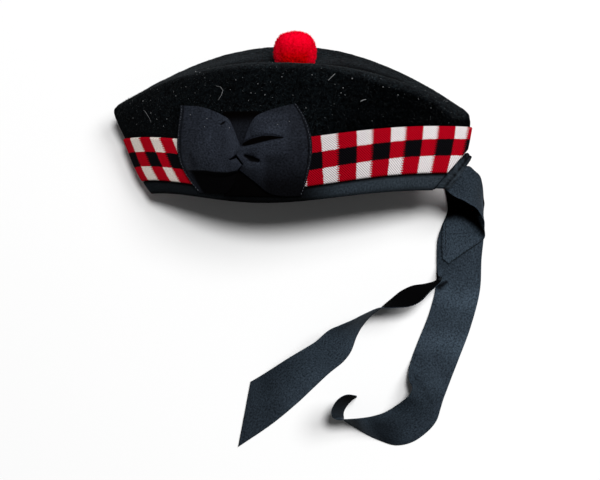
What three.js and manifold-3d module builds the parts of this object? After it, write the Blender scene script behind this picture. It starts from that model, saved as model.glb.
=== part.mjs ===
// Glengarry cap lying on its right side, with its two ribbon tails laid out on the surface.
// Millimetres. +X runs from the front of the cap to its back, +Y from its mouth to its crown,
// and +Z stands up from the surface that it lies on. The origin is on the flattened right side.

import * as THREE from 'three';
import ManifoldModule from 'manifold-3d';

const wasm = await ManifoldModule();
wasm.setup();
const { Manifold, Mesh: ManifoldMesh } = wasm;

// ---------------------------------------------------------------- driving sizes

const FELT_WALL = 2.2;          // milled wool
const GAP = 0.3;                // between neighbouring pieces
const BAND_THICKNESS = 1.3;     // diced tape
const BINDING_THICKNESS = 1.0;  // ribbon folded over the rim
const RIBBON_THICKNESS = 1.0;
const BINDING_RUN = 11.2;       // visible depth of the rim binding
const BAND_FOOT_RUN = 12;       // the tape covers this stretch of the side, measured up from the rim
const BAND_HEAD_RUN = 53;
const CREASE_RUN = 159;         // bottom of the valley in the crown
const END_ROUNDING = 0.35;      // 0 = knife fold at front and back, 1 = elliptic end
const LOWER_FULLNESS = 0.62;    // how squarely the lower side turns down to the surface
const FLATTEN_BLEND = 2.5;      // softness of the edge of the flattened patch
const BAND_STANDOFF = GAP + BAND_THICKNESS;

const TOORIE = { x: 8.8, y: 42.4, z: 57, rx: 17.8, ry: 17.4, rz: 17.8, lumps: 0.5 };
const TUFT = { depth: 12, x: 8.5, reach: 28 };   // the crown is drawn in under the toorie
const SAG = { skew: 0.8, sharpness: 2.6 };       // the upper side bellies towards the mouth under the bow
const VENT = { x: 128.7, y: -68.05, nx: 0.760, ny: -0.650, roll: 9.0, taper: 0.5, thickness: 6.2 };
const BOW = { standoff: BAND_STANDOFF + GAP, thickness: 1.0, foldY: -57.5 };

// ---------------------------------------------------------------- tables

const table = (columns, ...rows) =>
  rows.map((row) => Object.fromEntries(columns.map((name, i) => [name, row[i]])));

// One row per girth ring of the cap, from the rim over the ridge to the crease of the valley.
// front*/back* are the folds, topZ the height of the upper side, sag and rise its bend towards the mouth
// and the crown, lowZ and lowRise the same for the lower side, tuft the share of the pull of the toorie.
const CAP_RINGS = table(
  ['run', 'frontX', 'frontY', 'frontZ', 'backX', 'backY', 'backZ', 'topZ', 'sag', 'rise', 'lowZ', 'lowRise', 'tuft'],
  [0, -120.0, -73.4, 24, 142.0, -72.5, 50, 85, -10.5, 0, 5, 9, 0],           // rim
  [12, -127.5, -63.0, 24, 146.0, -59.5, 51, 91, -12.3, 0, 2, 9, 0],          // foot of the tape
  [53, -143.8, -26.4, 26, 154.5, -21.0, 50, 101, -11.0, 0, -5, 9.5, 0],      // head of the tape
  [78, -152.2, -6.2, 30, 154.4, -13.5, 46, 101, -4.0, 4, -5, 24, 0],         // belly
  [105, -149.2, 1.3, 33, 152.6, -8.6, 44, 96, 0, 21, -1.5, 47, 0],           // shoulder
  [121, -144.5, 3.7, 36, 148.0, -4.3, 42, 86, 0, 30.5, 13, 54, 0],           // rolled ridge
  [137, -140.0, 4.0, 38, 144.0, -3.5, 42, 70, 0, 33, 28, 47, 0.5],           // slope into the valley
  [159, -136.0, 3.5, 40, 140.0, -3.0, 42, 50, 0, 36, 50, 36, 1],             // crease
);
const RING_RUNS = [0, 12, 26, 40, 53, 60, 69, 80, 92, 103, 112, 121, 129, 138, 148, CREASE_RUN];
const GIRTH_STEPS = 22;         // along each side, front fold to back fold

// Bow wings: a row per station from the knot (p = 0) to the outer edge (p = 1), in plan.
const WING_FRONT = table(
  ['p', 'topX', 'topY', 'lowX', 'lowY', 'puff', 'base'],
  [0.0, -31.0, -40.5, -34.6, -58.7, 5.5, 3.9],
  [0.1, -35.2, -28.4, -38.5, -68.2, 6.5, 3.8],
  [0.25, -39.6, -18.6, -44.0, -75.0, 7.0, 3.7],
  [0.45, -46.2, -13.5, -51.0, -76.2, 7.0, 3.6],
  [0.7, -61.9, -6.8, -60.3, -76.0, 5.0, 2.9],
  [1.0, -83.5, -3.7, -70.5, -74.6, 0.0, 2.2],
);
const WING_BACK = table(
  ['p', 'topX', 'topY', 'lowX', 'lowY', 'puff', 'base'],
  [0.0, -29.0, -38.9, -32.2, -57.9, 6.5, 3.9],
  [0.1, -25.1, -27.0, -25.9, -62.8, 6.0, 3.9],
  [0.25, -19.2, -16.8, -17.8, -69.4, 5.0, 3.9],
  [0.45, -10.1, -11.7, -9.9, -76.0, 4.0, 3.7],
  [0.7, 1.3, -8.3, 1.5, -79.0, 2.5, 3.4],
  [1.0, 14.2, -5.2, 18.1, -79.0, 0.0, 2.2],
);
const WING_EDGE = { frontBulge: -11.5, frontSkew: 1.3, backBulge: 11.8, backSkew: 0.85 };
const SLIT = { x0: -31, y0: -39, x1: 4.4, y1: -33.3, depth: 5.5, width: 2.0 };   // pleat in the back wing
const DIMPLE = { x: -20.3, y: -48.8, depth: 4.0, radius: 3.4 };
const BACKING = table(['x', 'y'], [-45.5, -10.5], [-16, -11], [2, -79.5], [-48, -78]);

// Ribbons: a row per station, by the two selvedges. Where a tail stands on edge, a is the raised selvedge
// and b the one on the surface.
const RIBBON_COLUMNS = ['ax', 'ay', 'az', 'bx', 'by', 'bz'];
const TAIL_LONG = table(
  RIBBON_COLUMNS,
  [132.8, -66.3, 0.5, 160.6, -68.1, 0.5],      // under the slit and the loop
  [135.3, -79.3, 0.5, 164.2, -82.0, 0.5],
  [136.0, -90.2, 0.5, 165.4, -92.4, 0.5],
  [130.8, -103.3, 0.5, 167.3, -105.0, 0.5],
  [127.1, -130.7, 0.5, 165.4, -132.3, 0.5],
  [126.1, -154.2, 0.5, 164.1, -158.4, 0.5],
  [120.0, -179.1, 0.5, 156.3, -189.7, 0.5],
  [109.4, -206.1, 0.5, 145.1, -220.2, 0.5],
  [104.8, -218.7, 1.0, 139.9, -233.7, 0.5],
  [102.5, -229.1, 7.0, 136.9, -241.5, 0.5],
  [103.3, -236.1, 15.0, 134.7, -247.2, 0.5],
  [106.2, -241.7, 22.0, 132.2, -253.8, 0.5],   // buckle on the inside of the bend
  [103.6, -247.8, 21.5, 130.0, -261.2, 0.5],
  [96.6, -254.5, 15.0, 126.5, -272.1, 0.5],
  [87.8, -261.1, 10.5, 118.7, -281.8, 0.5],
  [80.6, -264.6, 13.5, 105.3, -291.2, 0.5],
  [74.9, -265.7, 20.5, 91.3, -294.0, 0.5],
  [68.8, -266.4, 28.4, 78.3, -290.5, 0.5],
  [61.9, -266.9, 33.5, 66.0, -285.2, 0.5],
  [54.9, -267.2, 36.8, 54.6, -278.4, 0.5],
  [49.0, -267.4, 38.0, 45.8, -272.8, 0.5],     // on edge
  [43.0, -267.5, 38.3, 45.5, -270.2, 0.5],
  [38.8, -265.4, 37.9, 45.2, -268.0, 0.5],     // curl
  [38.0, -260.8, 37.5, 45.8, -264.9, 0.5],
  [40.0, -255.3, 37.3, 48.0, -260.8, 0.5],
  [45.1, -249.3, 37.3, 51.1, -257.0, 0.5],
  [51.5, -246.5, 37.6, 54.2, -254.1, 0.5],
  [59.2, -247.3, 38.1, 57.2, -252.3, 0.5],     // cut end
);
const TAIL_TWISTED = table(
  RIBBON_COLUMNS,
  [135.6, -104.5, 1.9, 131.0, -103.6, 1.9],    // gathered under the loop
  [136.0, -111.0, 1.9, 128.5, -110.5, 1.9],
  [137.3, -128.0, 1.9, 126.9, -128.0, 1.9],
  [136.0, -136.3, 2.4, 127.0, -137.6, 1.9],
  [133.0, -142.4, 1.9, 128.3, -145.7, 9.0],
  [129.9, -147.0, 1.9, 132.0, -147.9, 18.0],   // first turn onto its edge
  [125.7, -150.5, 1.9, 128.8, -152.1, 25.5],
  [116.6, -153.2, 0.9, 121.2, -158.7, 31.5],
  [105.0, -155.2, 0.5, 112.8, -167.2, 34.9],
  [95.7, -159.7, 0.5, 103.6, -171.2, 35.6],
  [88.8, -165.2, 0.5, 93.4, -172.0, 37.1],
  [82.6, -170.4, 0.5, 85.9, -172.3, 38.1],
  [77.8, -174.7, 0.5, 79.1, -172.5, 38.4],     // turns back over
  [69.5, -181.5, 0.5, 67.2, -177.3, 38.0],
  [61.6, -190.7, 0.5, 55.3, -183.3, 36.8],
  [56.8, -199.5, 0.5, 44.8, -187.9, 33.6],
  [52.0, -212.3, 0.5, 34.2, -193.0, 28.5],
  [45.4, -221.3, 0.5, 23.4, -202.4, 24.2],
  [33.5, -231.1, 0.5, 11.8, -209.7, 20.8],
  [19.4, -244.4, 0.5, -1.9, -218.0, 15.5],
  [4.4, -258.7, 0.5, -17.9, -228.4, 7.2],
  [-17.8, -277.2, 0.5, -29.2, -235.6, 1.2],
  [-48.0, -298.0, 0.5, -36.9, -240.1, 0.5],    // slanted end
);
const TAIL_LOOP = table(
  RIBBON_COLUMNS,
  [133.5, -72.1, 50.0, 146.6, -54.8, 48.4],    // leaves the slit
  [138.0, -76.0, 50.0, 153.4, -53.2, 46.4],
  [142.8, -79.2, 49.5, 158.4, -56.8, 41.0],
  [148.3, -81.5, 47.5, 162.7, -60.3, 32.0],
  [154.6, -84.9, 43.0, 165.3, -67.3, 21.0],
  [161.1, -89.0, 35.0, 166.6, -78.0, 10.0],
  [165.9, -96.4, 28.0, 167.0, -85.5, 4.0],     // turns over
  [167.3, -105.2, 16.0, 151.1, -80.3, 3.5],
  [167.1, -114.4, 4.6, 140.3, -83.8, 3.5],
  [159.3, -120.2, 4.1, 135.6, -92.4, 3.5],
  [150.2, -126.4, 4.1, 132.0, -103.7, 3.5],
  [142.9, -131.5, 4.1, 131.0, -117.6, 3.6],
  [136.9, -135.6, 4.1, 131.9, -131.2, 3.7],    // sewn corner
);

// ---------------------------------------------------------------- interpolation

const clamp = (v, lo, hi) => Math.min(Math.max(v, lo), hi);
const lerp = THREE.MathUtils.lerp;

// Smooth curve through one column of a table, over a key column or over the row number.
function through(rows, column, at, key) {
  const n = rows.length;
  const knot = (i) => (key ? rows[i][key] : i);
  const value = (i) => rows[i][column];
  const slope = (i, j) => (value(j) - value(i)) / (knot(j) - knot(i));
  if (at < knot(0)) return value(0) + slope(0, 1) * (at - knot(0));
  let k = 0;
  while (k < n - 2 && at > knot(k + 1)) k++;
  const span = knot(k + 1) - knot(k);
  const u = clamp((at - knot(k)) / span, 0, 1);
  const tangent = (i) => {
    if (i === 0) return slope(0, 1);
    if (i === n - 1) return slope(n - 2, n - 1);
    const before = knot(i) - knot(i - 1);
    const after = knot(i + 1) - knot(i);
    return (slope(i - 1, i) * after + slope(i, i + 1) * before) / (before + after);
  };
  const u2 = u * u;
  const u3 = u2 * u;
  return (2 * u3 - 3 * u2 + 1) * value(k) + (u3 - 2 * u2 + u) * span * tangent(k)
    + (3 * u2 - 2 * u3) * value(k + 1) + (u3 - u2) * span * tangent(k + 1);
}

function ringAt(run) {
  const ring = {};
  for (const column of Object.keys(CAP_RINGS[0])) {
    if (column !== 'run') ring[column] = through(CAP_RINGS, column, run, 'run');
  }
  return ring;
}

// ---------------------------------------------------------------- cap surface

// Height at which the felt rests: the tape under it on the lower side stands proud by its own thickness.
function restHeight(run) {
  return BAND_STANDOFF * (1 - THREE.MathUtils.smoothstep(run, BAND_HEAD_RUN, BAND_HEAD_RUN + 7));
}

function flatten(z, floor) {
  const above = z - floor;
  if (above >= FLATTEN_BLEND) return z;
  if (above <= -FLATTEN_BLEND) return floor;
  return floor + (above + FLATTEN_BLEND) ** 2 / (4 * FLATTEN_BLEND);
}

// phi runs from the front fold (0) to the back fold (pi); upper is the side with the bow.
function capPoint(phi, run, upper, ring = ringAt(run), floorAdd = 0) {
  const s = Math.max(Math.sin(phi), 0);
  const t = (1 - END_ROUNDING) * (phi / Math.PI) + END_ROUNDING * (1 - Math.cos(phi)) / 2;
  const arch = 4 * t * (1 - t);
  const x = lerp(ring.frontX, ring.backX, t);
  const foldZ = lerp(ring.frontZ, ring.backZ, t);
  const tuft = TUFT.depth * ring.tuft * Math.exp(-(((x - TUFT.x) / TUFT.reach) ** 2));
  let y = lerp(ring.frontY, ring.backY, t) - tuft;
  let z;
  if (upper) {
    const sag = Math.abs(Math.sin(Math.PI * Math.max(t, 0) ** SAG.skew)) ** SAG.sharpness;
    y += ring.sag * sag + ring.rise * arch;
    z = foldZ + (ring.topZ - (ring.frontZ + ring.backZ) / 2) * s;
  } else {
    y += ring.lowRise * arch;
    z = flatten(foldZ + (ring.lowZ - foldZ) * s ** LOWER_FULLNESS, restHeight(run) + floorAdd);
  }
  return new THREE.Vector3(x, y, z);
}

function sideNormal(phi, run, upper) {
  const p = clamp(phi, 0.04, Math.PI - 0.04);
  const r = clamp(run, -5, CREASE_RUN - 0.6);
  const alongPhi = capPoint(p + 0.01, r, upper).sub(capPoint(p - 0.01, r, upper));
  const alongRun = capPoint(p, r + 0.3, upper).sub(capPoint(p, r - 0.3, upper));
  const n = alongPhi.cross(alongRun).normalize();
  return upper ? n : n.negate();
}

// Point of the outer surface moved outwards, mitred at the folds and at the crease.
function offsetPoint(phi, run, upper, distance) {
  const p = capPoint(phi, run, upper);
  if (!distance) return p;
  const own = sideNormal(phi, run, upper);
  const onEdge = phi < 1e-6 || phi > Math.PI - 1e-6 || run > CREASE_RUN - 1e-6;
  if (!onEdge) return p.addScaledVector(own, distance);
  const mean = own.clone().add(sideNormal(phi, run, !upper)).normalize();
  return p.addScaledVector(mean, distance * Math.min(1 / Math.max(mean.dot(own), 0.1), 1.8));
}

// Inner surface: the same rings drawn in by the wall thickness.
function cavityPoint(phi, run, upper, wall) {
  const ring = ringAt(run);
  const crownShare = THREE.MathUtils.smoothstep(run, 78, 121);
  const mid = sideNormal(Math.PI / 2, Math.min(run, CREASE_RUN), upper);
  if (run > CREASE_RUN - 1e-6) mid.set(0, 1, 0);
  const endInset = wall * (1.7 + 2.6 * crownShare);
  ring.frontX += endInset;
  ring.backX -= endInset;
  ring.frontY -= wall * crownShare;
  ring.backY -= wall * crownShare;
  const p = capPoint(phi, run, upper, ring, wall);
  const s = Math.max(Math.sin(phi), 0);
  const endDrop = wall * crownShare * (1 - s);
  p.y -= mid.y * wall * s - (wall * crownShare) * s + endDrop * 0.2;
  if (upper) p.z -= mid.z * wall * s;
  else p.z = Math.max(p.z - mid.z * wall * s * (run > 110 ? 1 : 0), restHeight(run) + wall);
  return p;
}

// ---------------------------------------------------------------- solids

function solidFromRings(rings, pinched) {
  const steps = GIRTH_STEPS;
  const around = 2 * steps;
  const position = [];
  const start = [];
  rings.forEach((ring, k) => {
    start.push(position.length / 3);
    const count = pinched && k === rings.length - 1 ? steps + 1 : around;
    for (let i = 0; i < count; i++) position.push(ring[i].x, ring[i].y, ring[i].z);
  });
  const last = rings.length - 1;
  const at = (k, i) => {
    const j = ((i % around) + around) % around;
    if (pinched && k === last && j > steps) return start[k] + around - j;
    return start[k] + j;
  };
  const index = [];
  const face = (a, b, c) => { if (a !== b && b !== c && a !== c) index.push(a, b, c); };
  for (let k = 0; k < last; k++) {
    for (let i = 0; i < around; i++) {
      face(at(k, i), at(k, i + 1), at(k + 1, i + 1));
      face(at(k, i), at(k + 1, i + 1), at(k + 1, i));
    }
  }
  const cap = (k, flip) => {
    for (let i = 0; i < steps; i++) {
      const quad = [at(k, i), at(k, i + 1), at(k, -i - 1), at(k, -i)];
      if (flip) quad.reverse();
      face(quad[0], quad[2], quad[1]);
      face(quad[0], quad[3], quad[2]);
    }
  };
  cap(0, false);
  if (!pinched) cap(last, true);
  return orient(position, index);
}

function orient(position, index) {
  let volume = 0;
  const v = (i) => new THREE.Vector3(position[3 * i], position[3 * i + 1], position[3 * i + 2]);
  for (let i = 0; i < index.length; i += 3) volume += v(index[i]).dot(v(index[i + 1]).cross(v(index[i + 2])));
  if (volume < 0) for (let i = 0; i < index.length; i += 3) [index[i + 1], index[i + 2]] = [index[i + 2], index[i + 1]];
  const geometry = new THREE.BufferGeometry();
  geometry.setAttribute('position', new THREE.Float32BufferAttribute(position, 3));
  geometry.setIndex(index);
  return geometry;
}

const toManifold = (geometry) => new Manifold(new ManifoldMesh({
  numProp: 3,
  vertProperties: new Float32Array(geometry.attributes.position.array),
  triVerts: new Uint32Array(geometry.index.array),
}));

function fromManifold(solid) {
  const mesh = solid.getMesh();
  const geometry = new THREE.BufferGeometry();
  const stride = mesh.numProp;
  const position = new Float32Array((mesh.vertProperties.length / stride) * 3);
  for (let i = 0; i < position.length / 3; i++) {
    for (let c = 0; c < 3; c++) position[3 * i + c] = mesh.vertProperties[stride * i + c];
  }
  geometry.setAttribute('position', new THREE.BufferAttribute(position, 3));
  geometry.setIndex(new THREE.BufferAttribute(new Uint32Array(mesh.triVerts), 1));
  return geometry;
}

function girth(run, pointAt) {
  const ring = [];
  for (let i = 0; i <= GIRTH_STEPS; i++) ring.push(pointAt((Math.PI * i) / GIRTH_STEPS, run, true));
  for (let i = GIRTH_STEPS - 1; i > 0; i--) ring.push(pointAt((Math.PI * i) / GIRTH_STEPS, run, false));
  return ring;
}

// Closed body of the cap between two runs, its surface moved outwards by a distance.
function capSlice(runs, distance) {
  const rings = runs.map((run) => girth(run, (phi, r, upper) => offsetPoint(phi, r, upper, distance)));
  return toManifold(solidFromRings(rings, runs[runs.length - 1] >= CREASE_RUN));
}

const cavityRuns = [-14, ...RING_RUNS];
const cavity = (wall) => toManifold(solidFromRings(
  cavityRuns.map((run) => girth(run, (phi, r, upper) => cavityPoint(phi, r, upper, wall))), true));

const ventCut = [[VENT.nx, VENT.ny], VENT.nx * VENT.x + VENT.ny * VENT.y];
const cutVent = (solid) => solid.trimByPlane([-ventCut[0][0], -ventCut[0][1], 0], -ventCut[1]);

const within = (lo, hi) => [lo, ...RING_RUNS.filter((run) => run > lo + 1 && run < hi - 1), hi];

function crownSolid() {
  return cutVent(capSlice(RING_RUNS, 0).subtract(cavity(FELT_WALL)));
}

function bandSolid() {
  const outside = capSlice(within(BAND_FOOT_RUN, BAND_HEAD_RUN), BAND_STANDOFF);
  const inside = capSlice(within(BAND_FOOT_RUN - 2, BAND_HEAD_RUN + 2), GAP);
  return cutVent(outside.subtract(inside));
}

function bindingSolid() {
  const reach = GAP + BINDING_THICKNESS;
  const whole = capSlice(within(-reach, BINDING_RUN), reach).subtract(cavity(FELT_WALL + reach));
  const felt = capSlice(within(-GAP, BAND_HEAD_RUN), GAP).subtract(cavity(FELT_WALL + GAP));
  return cutVent(whole.subtract(felt));
}

// Roll round the slit: follows the wall along the cut, on the outer side of it.
function ventSolid() {
  const signed = (p) => ventCut[0][0] * p.x + ventCut[0][1] * p.y - ventCut[1];
  const onCut = (run, upper) => {
    let lo = Math.PI / 2;
    let hi = Math.PI;
    if (signed(capPoint(hi, run, upper)) < 0) return null;
    for (let i = 0; i < 50; i++) {
      const m = (lo + hi) / 2;
      if (signed(capPoint(m, run, upper)) < 0) lo = m; else hi = m;
    }
    return capPoint(lo, run, upper);
  };
  let apex = BAND_FOOT_RUN;
  while (apex < BAND_HEAD_RUN && signed(capPoint(Math.PI, apex, true)) > 0) apex += 0.1;
  const runs = [0.15, 0.32, 0.52, 0.7, 0.87].map((share) => share * apex);
  const path = [...runs.map((r) => onCut(r, true)), capPoint(Math.PI, apex, true),
    ...runs.slice().reverse().map((r) => onCut(r, false))].filter(Boolean);
  const out = new THREE.Vector3(VENT.nx, VENT.ny, 0).normalize();
  const centre = new THREE.Vector3();
  path.forEach((p) => centre.addScaledVector(p, 1 / path.length));
  const rows = path.map((p, i) => {
    const before = path[Math.max(i - 1, 0)];
    const after = path[Math.min(i + 1, path.length - 1)];
    const along = after.clone().sub(before).normalize();
    const across = along.clone().cross(out).normalize();
    if (across.dot(p.clone().sub(centre)) < 0) across.negate();
    return { p: p.clone().addScaledVector(across, -0.9), across };
  });
  const half = VENT.thickness / 2;
  const section = [[GAP, -half], [GAP, half], [VENT.roll * 0.7, half], [VENT.roll + GAP, half * 0.35],
    [VENT.roll + GAP, -half * 0.35], [VENT.roll * 0.7, -half]];
  const position = [];
  const index = [];
  const middle = (rows.length - 1) / 2;
  rows.forEach(({ p, across }, i) => section.forEach(([a, b]) => {
    const narrow = 1 - VENT.taper * (1 - Math.abs(i - middle) / middle);
    const q = p.clone().addScaledVector(out, GAP + (a - GAP) * narrow).addScaledVector(across, b);
    position.push(q.x, q.y, q.z);
  }));
  const m = section.length;
  for (let k = 0; k + 1 < rows.length; k++) {
    for (let i = 0; i < m; i++) {
      const [a, b] = [k * m + i, k * m + ((i + 1) % m)];
      index.push(a, b, b + m, a, b + m, a + m);
    }
  }
  const endRow = (rows.length - 1) * m;
  for (let i = 1; i + 1 < m; i++) index.push(0, i + 1, i, endRow, endRow + i, endRow + i + 1);
  return orient(position, index);
}

function toorieSolid() {
  const ball = new THREE.SphereGeometry(1, 20, 12);
  const v = new THREE.Vector3();
  const spot = ball.attributes.position;
  const bodies = [];
  for (let i = 0; i < spot.count; i++) {
    v.fromBufferAttribute(spot, i);
    const lump = 1 + (TOORIE.lumps / TOORIE.rx) * (Math.sin(5 * v.x + 2) * Math.sin(4 * v.y + 1) + Math.sin(4 * v.z));
    bodies.push(v.x * TOORIE.rx * lump + TOORIE.x, v.y * TOORIE.ry * lump + TOORIE.y, v.z * TOORIE.rz * lump + TOORIE.z);
  }
  const points = [];
  for (let i = 0; i < bodies.length; i += 3) points.push([bodies[i], bodies[i + 1], bodies[i + 2]]);
  return Manifold.hull(points).subtract(capSlice(RING_RUNS, GAP + 0.1));
}

// Thin sheet from a grid of points with a direction to thicken along.
function sheetSolid(columns, rowsCount, pointAt, thickness) {
  const position = [];
  for (const side of [0, 1]) {
    for (let i = 0; i <= columns; i++) {
      for (let j = 0; j <= rowsCount; j++) {
        const { p, n } = pointAt(i / columns, j / rowsCount);
        const q = p.clone().addScaledVector(n, side * thickness);
        position.push(q.x, q.y, q.z);
      }
    }
  }
  const per = rowsCount + 1;
  const layer = (columns + 1) * per;
  const index = [];
  const quad = (a, b, c, d) => index.push(a, b, c, a, c, d);
  for (let i = 0; i < columns; i++) {
    for (let j = 0; j < rowsCount; j++) {
      const a = i * per + j;
      quad(a, a + 1, a + per + 1, a + per);
      quad(layer + a, layer + a + per, layer + a + per + 1, layer + a + 1);
    }
  }
  const rim = [];
  for (let i = 0; i < columns; i++) rim.push(i * per);
  for (let j = 0; j < rowsCount; j++) rim.push(columns * per + j);
  for (let i = columns; i > 0; i--) rim.push(i * per + rowsCount);
  for (let j = rowsCount; j > 0; j--) rim.push(j);
  rim.forEach((a, k) => {
    const b = rim[(k + 1) % rim.length];
    quad(a, b, layer + b, layer + a);
  });
  return orient(position, index);
}

// Foot of a plan point on the upper side.
function upperAt(x, y) {
  let phi = 1.4;
  let run = 50;
  for (let i = 0; i < 40; i++) {
    const p = capPoint(phi, run, true);
    const a = capPoint(phi + 1e-4, run, true).sub(p).multiplyScalar(1e4);
    const b = capPoint(phi, run + 1e-2, true).sub(p).multiplyScalar(1e2);
    const det = a.x * b.y - b.x * a.y;
    const dx = x - p.x;
    const dy = y - p.y;
    phi = clamp(phi + (dx * b.y - dy * b.x) / det, 0.02, Math.PI - 0.02);
    run = clamp(run + (a.x * dy - a.y * dx) / det, -4, 118);
  }
  return { p: capPoint(phi, run, true), n: sideNormal(phi, run, true) };
}

// Point at a height above the upper side that stands over the plan point.
function raised(x, y, height) {
  const over = upperAt(x, y).n;
  const { p, n } = upperAt(x - over.x * height, y - over.y * height);
  return { p: p.addScaledVector(n, height), n };
}

function wingPlan(rows, p, q, bulge, skew) {
  const get = (column) => through(rows, column, p, 'p');
  return {
    x: lerp(get('topX'), get('lowX'), q) + bulge * Math.sin(Math.PI * q ** skew) * p * p,
    y: lerp(get('topY'), get('lowY'), q),
    topY: get('topY'), lowY: get('lowY'), puff: get('puff'), base: get('base'),
  };
}

function wingFront(p, q) {
  const w = wingPlan(WING_FRONT, p, q, WING_EDGE.frontBulge, WING_EDGE.frontSkew);
  const fold = clamp((w.topY - BOW.foldY) / (w.topY - w.lowY), 0.2, 0.95);
  const swell = q < fold ? Math.sin((Math.PI / 2) * (q / fold)) ** 0.8 : clamp(1 - (q - fold) / 0.08, 0, 1);
  return raised(w.x, w.y, w.base + w.puff * swell);
}

function wingBack(p, q) {
  const w = wingPlan(WING_BACK, p, q, WING_EDGE.backBulge, WING_EDGE.backSkew);
  const along = (w.x - SLIT.x0) / (SLIT.x1 - SLIT.x0);
  const below = lerp(SLIT.y0, SLIT.y1, along) - w.y;
  const swell = below < 0 ? 0.55 * (1 - Math.exp(-q * 5)) : Math.exp(-(((below - 6) / 15) ** 2)) * Math.min(1, 6 * (1 - q));
  const slit = SLIT.depth * Math.exp(-((below / SLIT.width) ** 2)) * clamp(1.15 - along, 0, 1) * Math.min(1, w.puff / 4);
  const dimple = DIMPLE.depth * Math.exp(-((w.x - DIMPLE.x) ** 2 + (w.y - DIMPLE.y) ** 2) / DIMPLE.radius ** 2);
  return raised(w.x, w.y, Math.max(w.base, w.base + w.puff * swell - slit - dimple));
}

function backing(p, q) {
  const [a, b, c, d] = BACKING;
  return raised(lerp(lerp(a.x, b.x, p), lerp(d.x, c.x, p), q), lerp(lerp(a.y, b.y, p), lerp(d.y, c.y, p), q), BOW.standoff);
}

// Ribbon through its stations, square in section.
function ribbonSolid(edges) {
  const position = [];
  edges.forEach(({ a, b, n }) => [[a, 1], [b, 1], [b, -1], [a, -1]].forEach(([p, side]) => {
    const q = p.clone().addScaledVector(n, (side * RIBBON_THICKNESS) / 2);
    position.push(q.x, q.y, q.z);
  }));
  const index = [];
  for (let k = 0; k + 1 < edges.length; k++) {
    for (let i = 0; i < 4; i++) {
      const [u, v] = [4 * k + i, 4 * k + ((i + 1) % 4)];
      // both faces of the ribbon split along the same diagonal
      if (i === 2) index.push(u, v, u + 4, v, v + 4, u + 4);
      else index.push(u, v, v + 4, u, v + 4, u + 4);
    }
  }
  const end = 4 * (edges.length - 1);
  index.push(0, 2, 1, 0, 3, 2, end, end + 1, end + 2, end, end + 2, end + 3);
  return orient(position, index);
}

function ribbonEdges(rows, perRow) {
  const point = (row, s) => new THREE.Vector3(row[s + 'x'], row[s + 'y'], row[s + 'z']);
  let run = 0;
  const keyed = rows.map((row, k) => {
    if (k) run += (point(row, 'a').distanceTo(point(rows[k - 1], 'a')) + point(row, 'b').distanceTo(point(rows[k - 1], 'b'))) / 2;
    return { ...row, run };
  });
  const last = keyed.length - 1;
  const at = (r, s) => new THREE.Vector3(...['x', 'y', 'z'].map((c) => through(keyed, s + c, r, 'run')));
  const edges = [];
  for (let k = 0; k <= last * perRow; k++) {
    const i = Math.min(Math.floor(k / perRow), last - 1);
    const r = lerp(keyed[i].run, keyed[i + 1].run, k / perRow - i);
    const [a, b] = ['a', 'b'].map((side) => {
      const p = at(r, side);
      const heights = [keyed[i][side + 'z'], keyed[i + 1][side + 'z']];
      return p.setZ(clamp(p.z, Math.min(...heights), Math.max(...heights)));
    });
    const lo = Math.max(r - 0.6, 0);
    const hi = Math.min(r + 0.6, run);
    const along = at(hi, 'a').add(at(hi, 'b')).sub(at(lo, 'a')).sub(at(lo, 'b'));
    edges.push({ a, b, n: along.cross(a.clone().sub(b)).normalize() });
  }
  return edges;
}

// ---------------------------------------------------------------- scene

const cap = new THREE.Group();

function add(name, geometry, color, roughness) {
  geometry.computeVertexNormals();
  const mesh = new THREE.Mesh(geometry, new THREE.MeshStandardMaterial({ color, roughness, metalness: 0 }));
  mesh.name = name;
  cap.add(mesh);
}

add('crown', fromManifold(crownSolid()), 0x0b0e12, 0.95);
add('diced_band', fromManifold(bandSolid()), 0xb4142a, 0.9);
add('rim_binding', fromManifold(bindingSolid()), 0x2a323c, 0.8);
add('vent_binding', ventSolid(), 0x2a323c, 0.8);
add('toorie', fromManifold(toorieSolid()), 0xd8102c, 0.95);
add('bow_backing', sheetSolid(5, 8, backing, BOW.thickness), 0x1a1f27, 0.75);
add('bow_wing_front', sheetSolid(10, 12, wingFront, BOW.thickness), 0x2a313d, 0.7);
add('bow_wing_back', sheetSolid(11, 14, wingBack, BOW.thickness), 0x2a313d, 0.7);
add('tail_loop', ribbonSolid(ribbonEdges(TAIL_LOOP, 3)), 0x2e3946, 0.7);
add('tail_long', ribbonSolid(ribbonEdges(TAIL_LONG, 2)), 0x2e3946, 0.7);
add('tail_twisted', ribbonSolid(ribbonEdges(TAIL_TWISTED, 3)), 0x2e3946, 0.7);

export default cap;
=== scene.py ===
import bpy
import bmesh
import math
import numpy as np
from mathutils import Matrix


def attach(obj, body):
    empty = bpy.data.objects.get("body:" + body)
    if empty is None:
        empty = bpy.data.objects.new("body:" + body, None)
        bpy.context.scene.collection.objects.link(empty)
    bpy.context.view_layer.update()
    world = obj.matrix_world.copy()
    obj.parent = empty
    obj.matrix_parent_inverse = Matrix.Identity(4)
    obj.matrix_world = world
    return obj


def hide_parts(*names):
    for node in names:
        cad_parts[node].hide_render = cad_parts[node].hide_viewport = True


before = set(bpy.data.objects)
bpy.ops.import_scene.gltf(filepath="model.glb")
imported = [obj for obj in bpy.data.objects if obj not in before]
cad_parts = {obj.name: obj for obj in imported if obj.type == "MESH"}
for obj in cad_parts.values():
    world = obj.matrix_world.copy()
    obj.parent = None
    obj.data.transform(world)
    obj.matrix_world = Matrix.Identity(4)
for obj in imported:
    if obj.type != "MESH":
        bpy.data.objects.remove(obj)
bpy.context.view_layer.update()
MM = 0.001
rng = np.random.default_rng(7)

# ---------------------------------------------------------------- camera, floor, light

TILT = math.radians(6.0)
AIM = (0.007, -0.115, 0.0)
DISTANCE = 1.2

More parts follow.
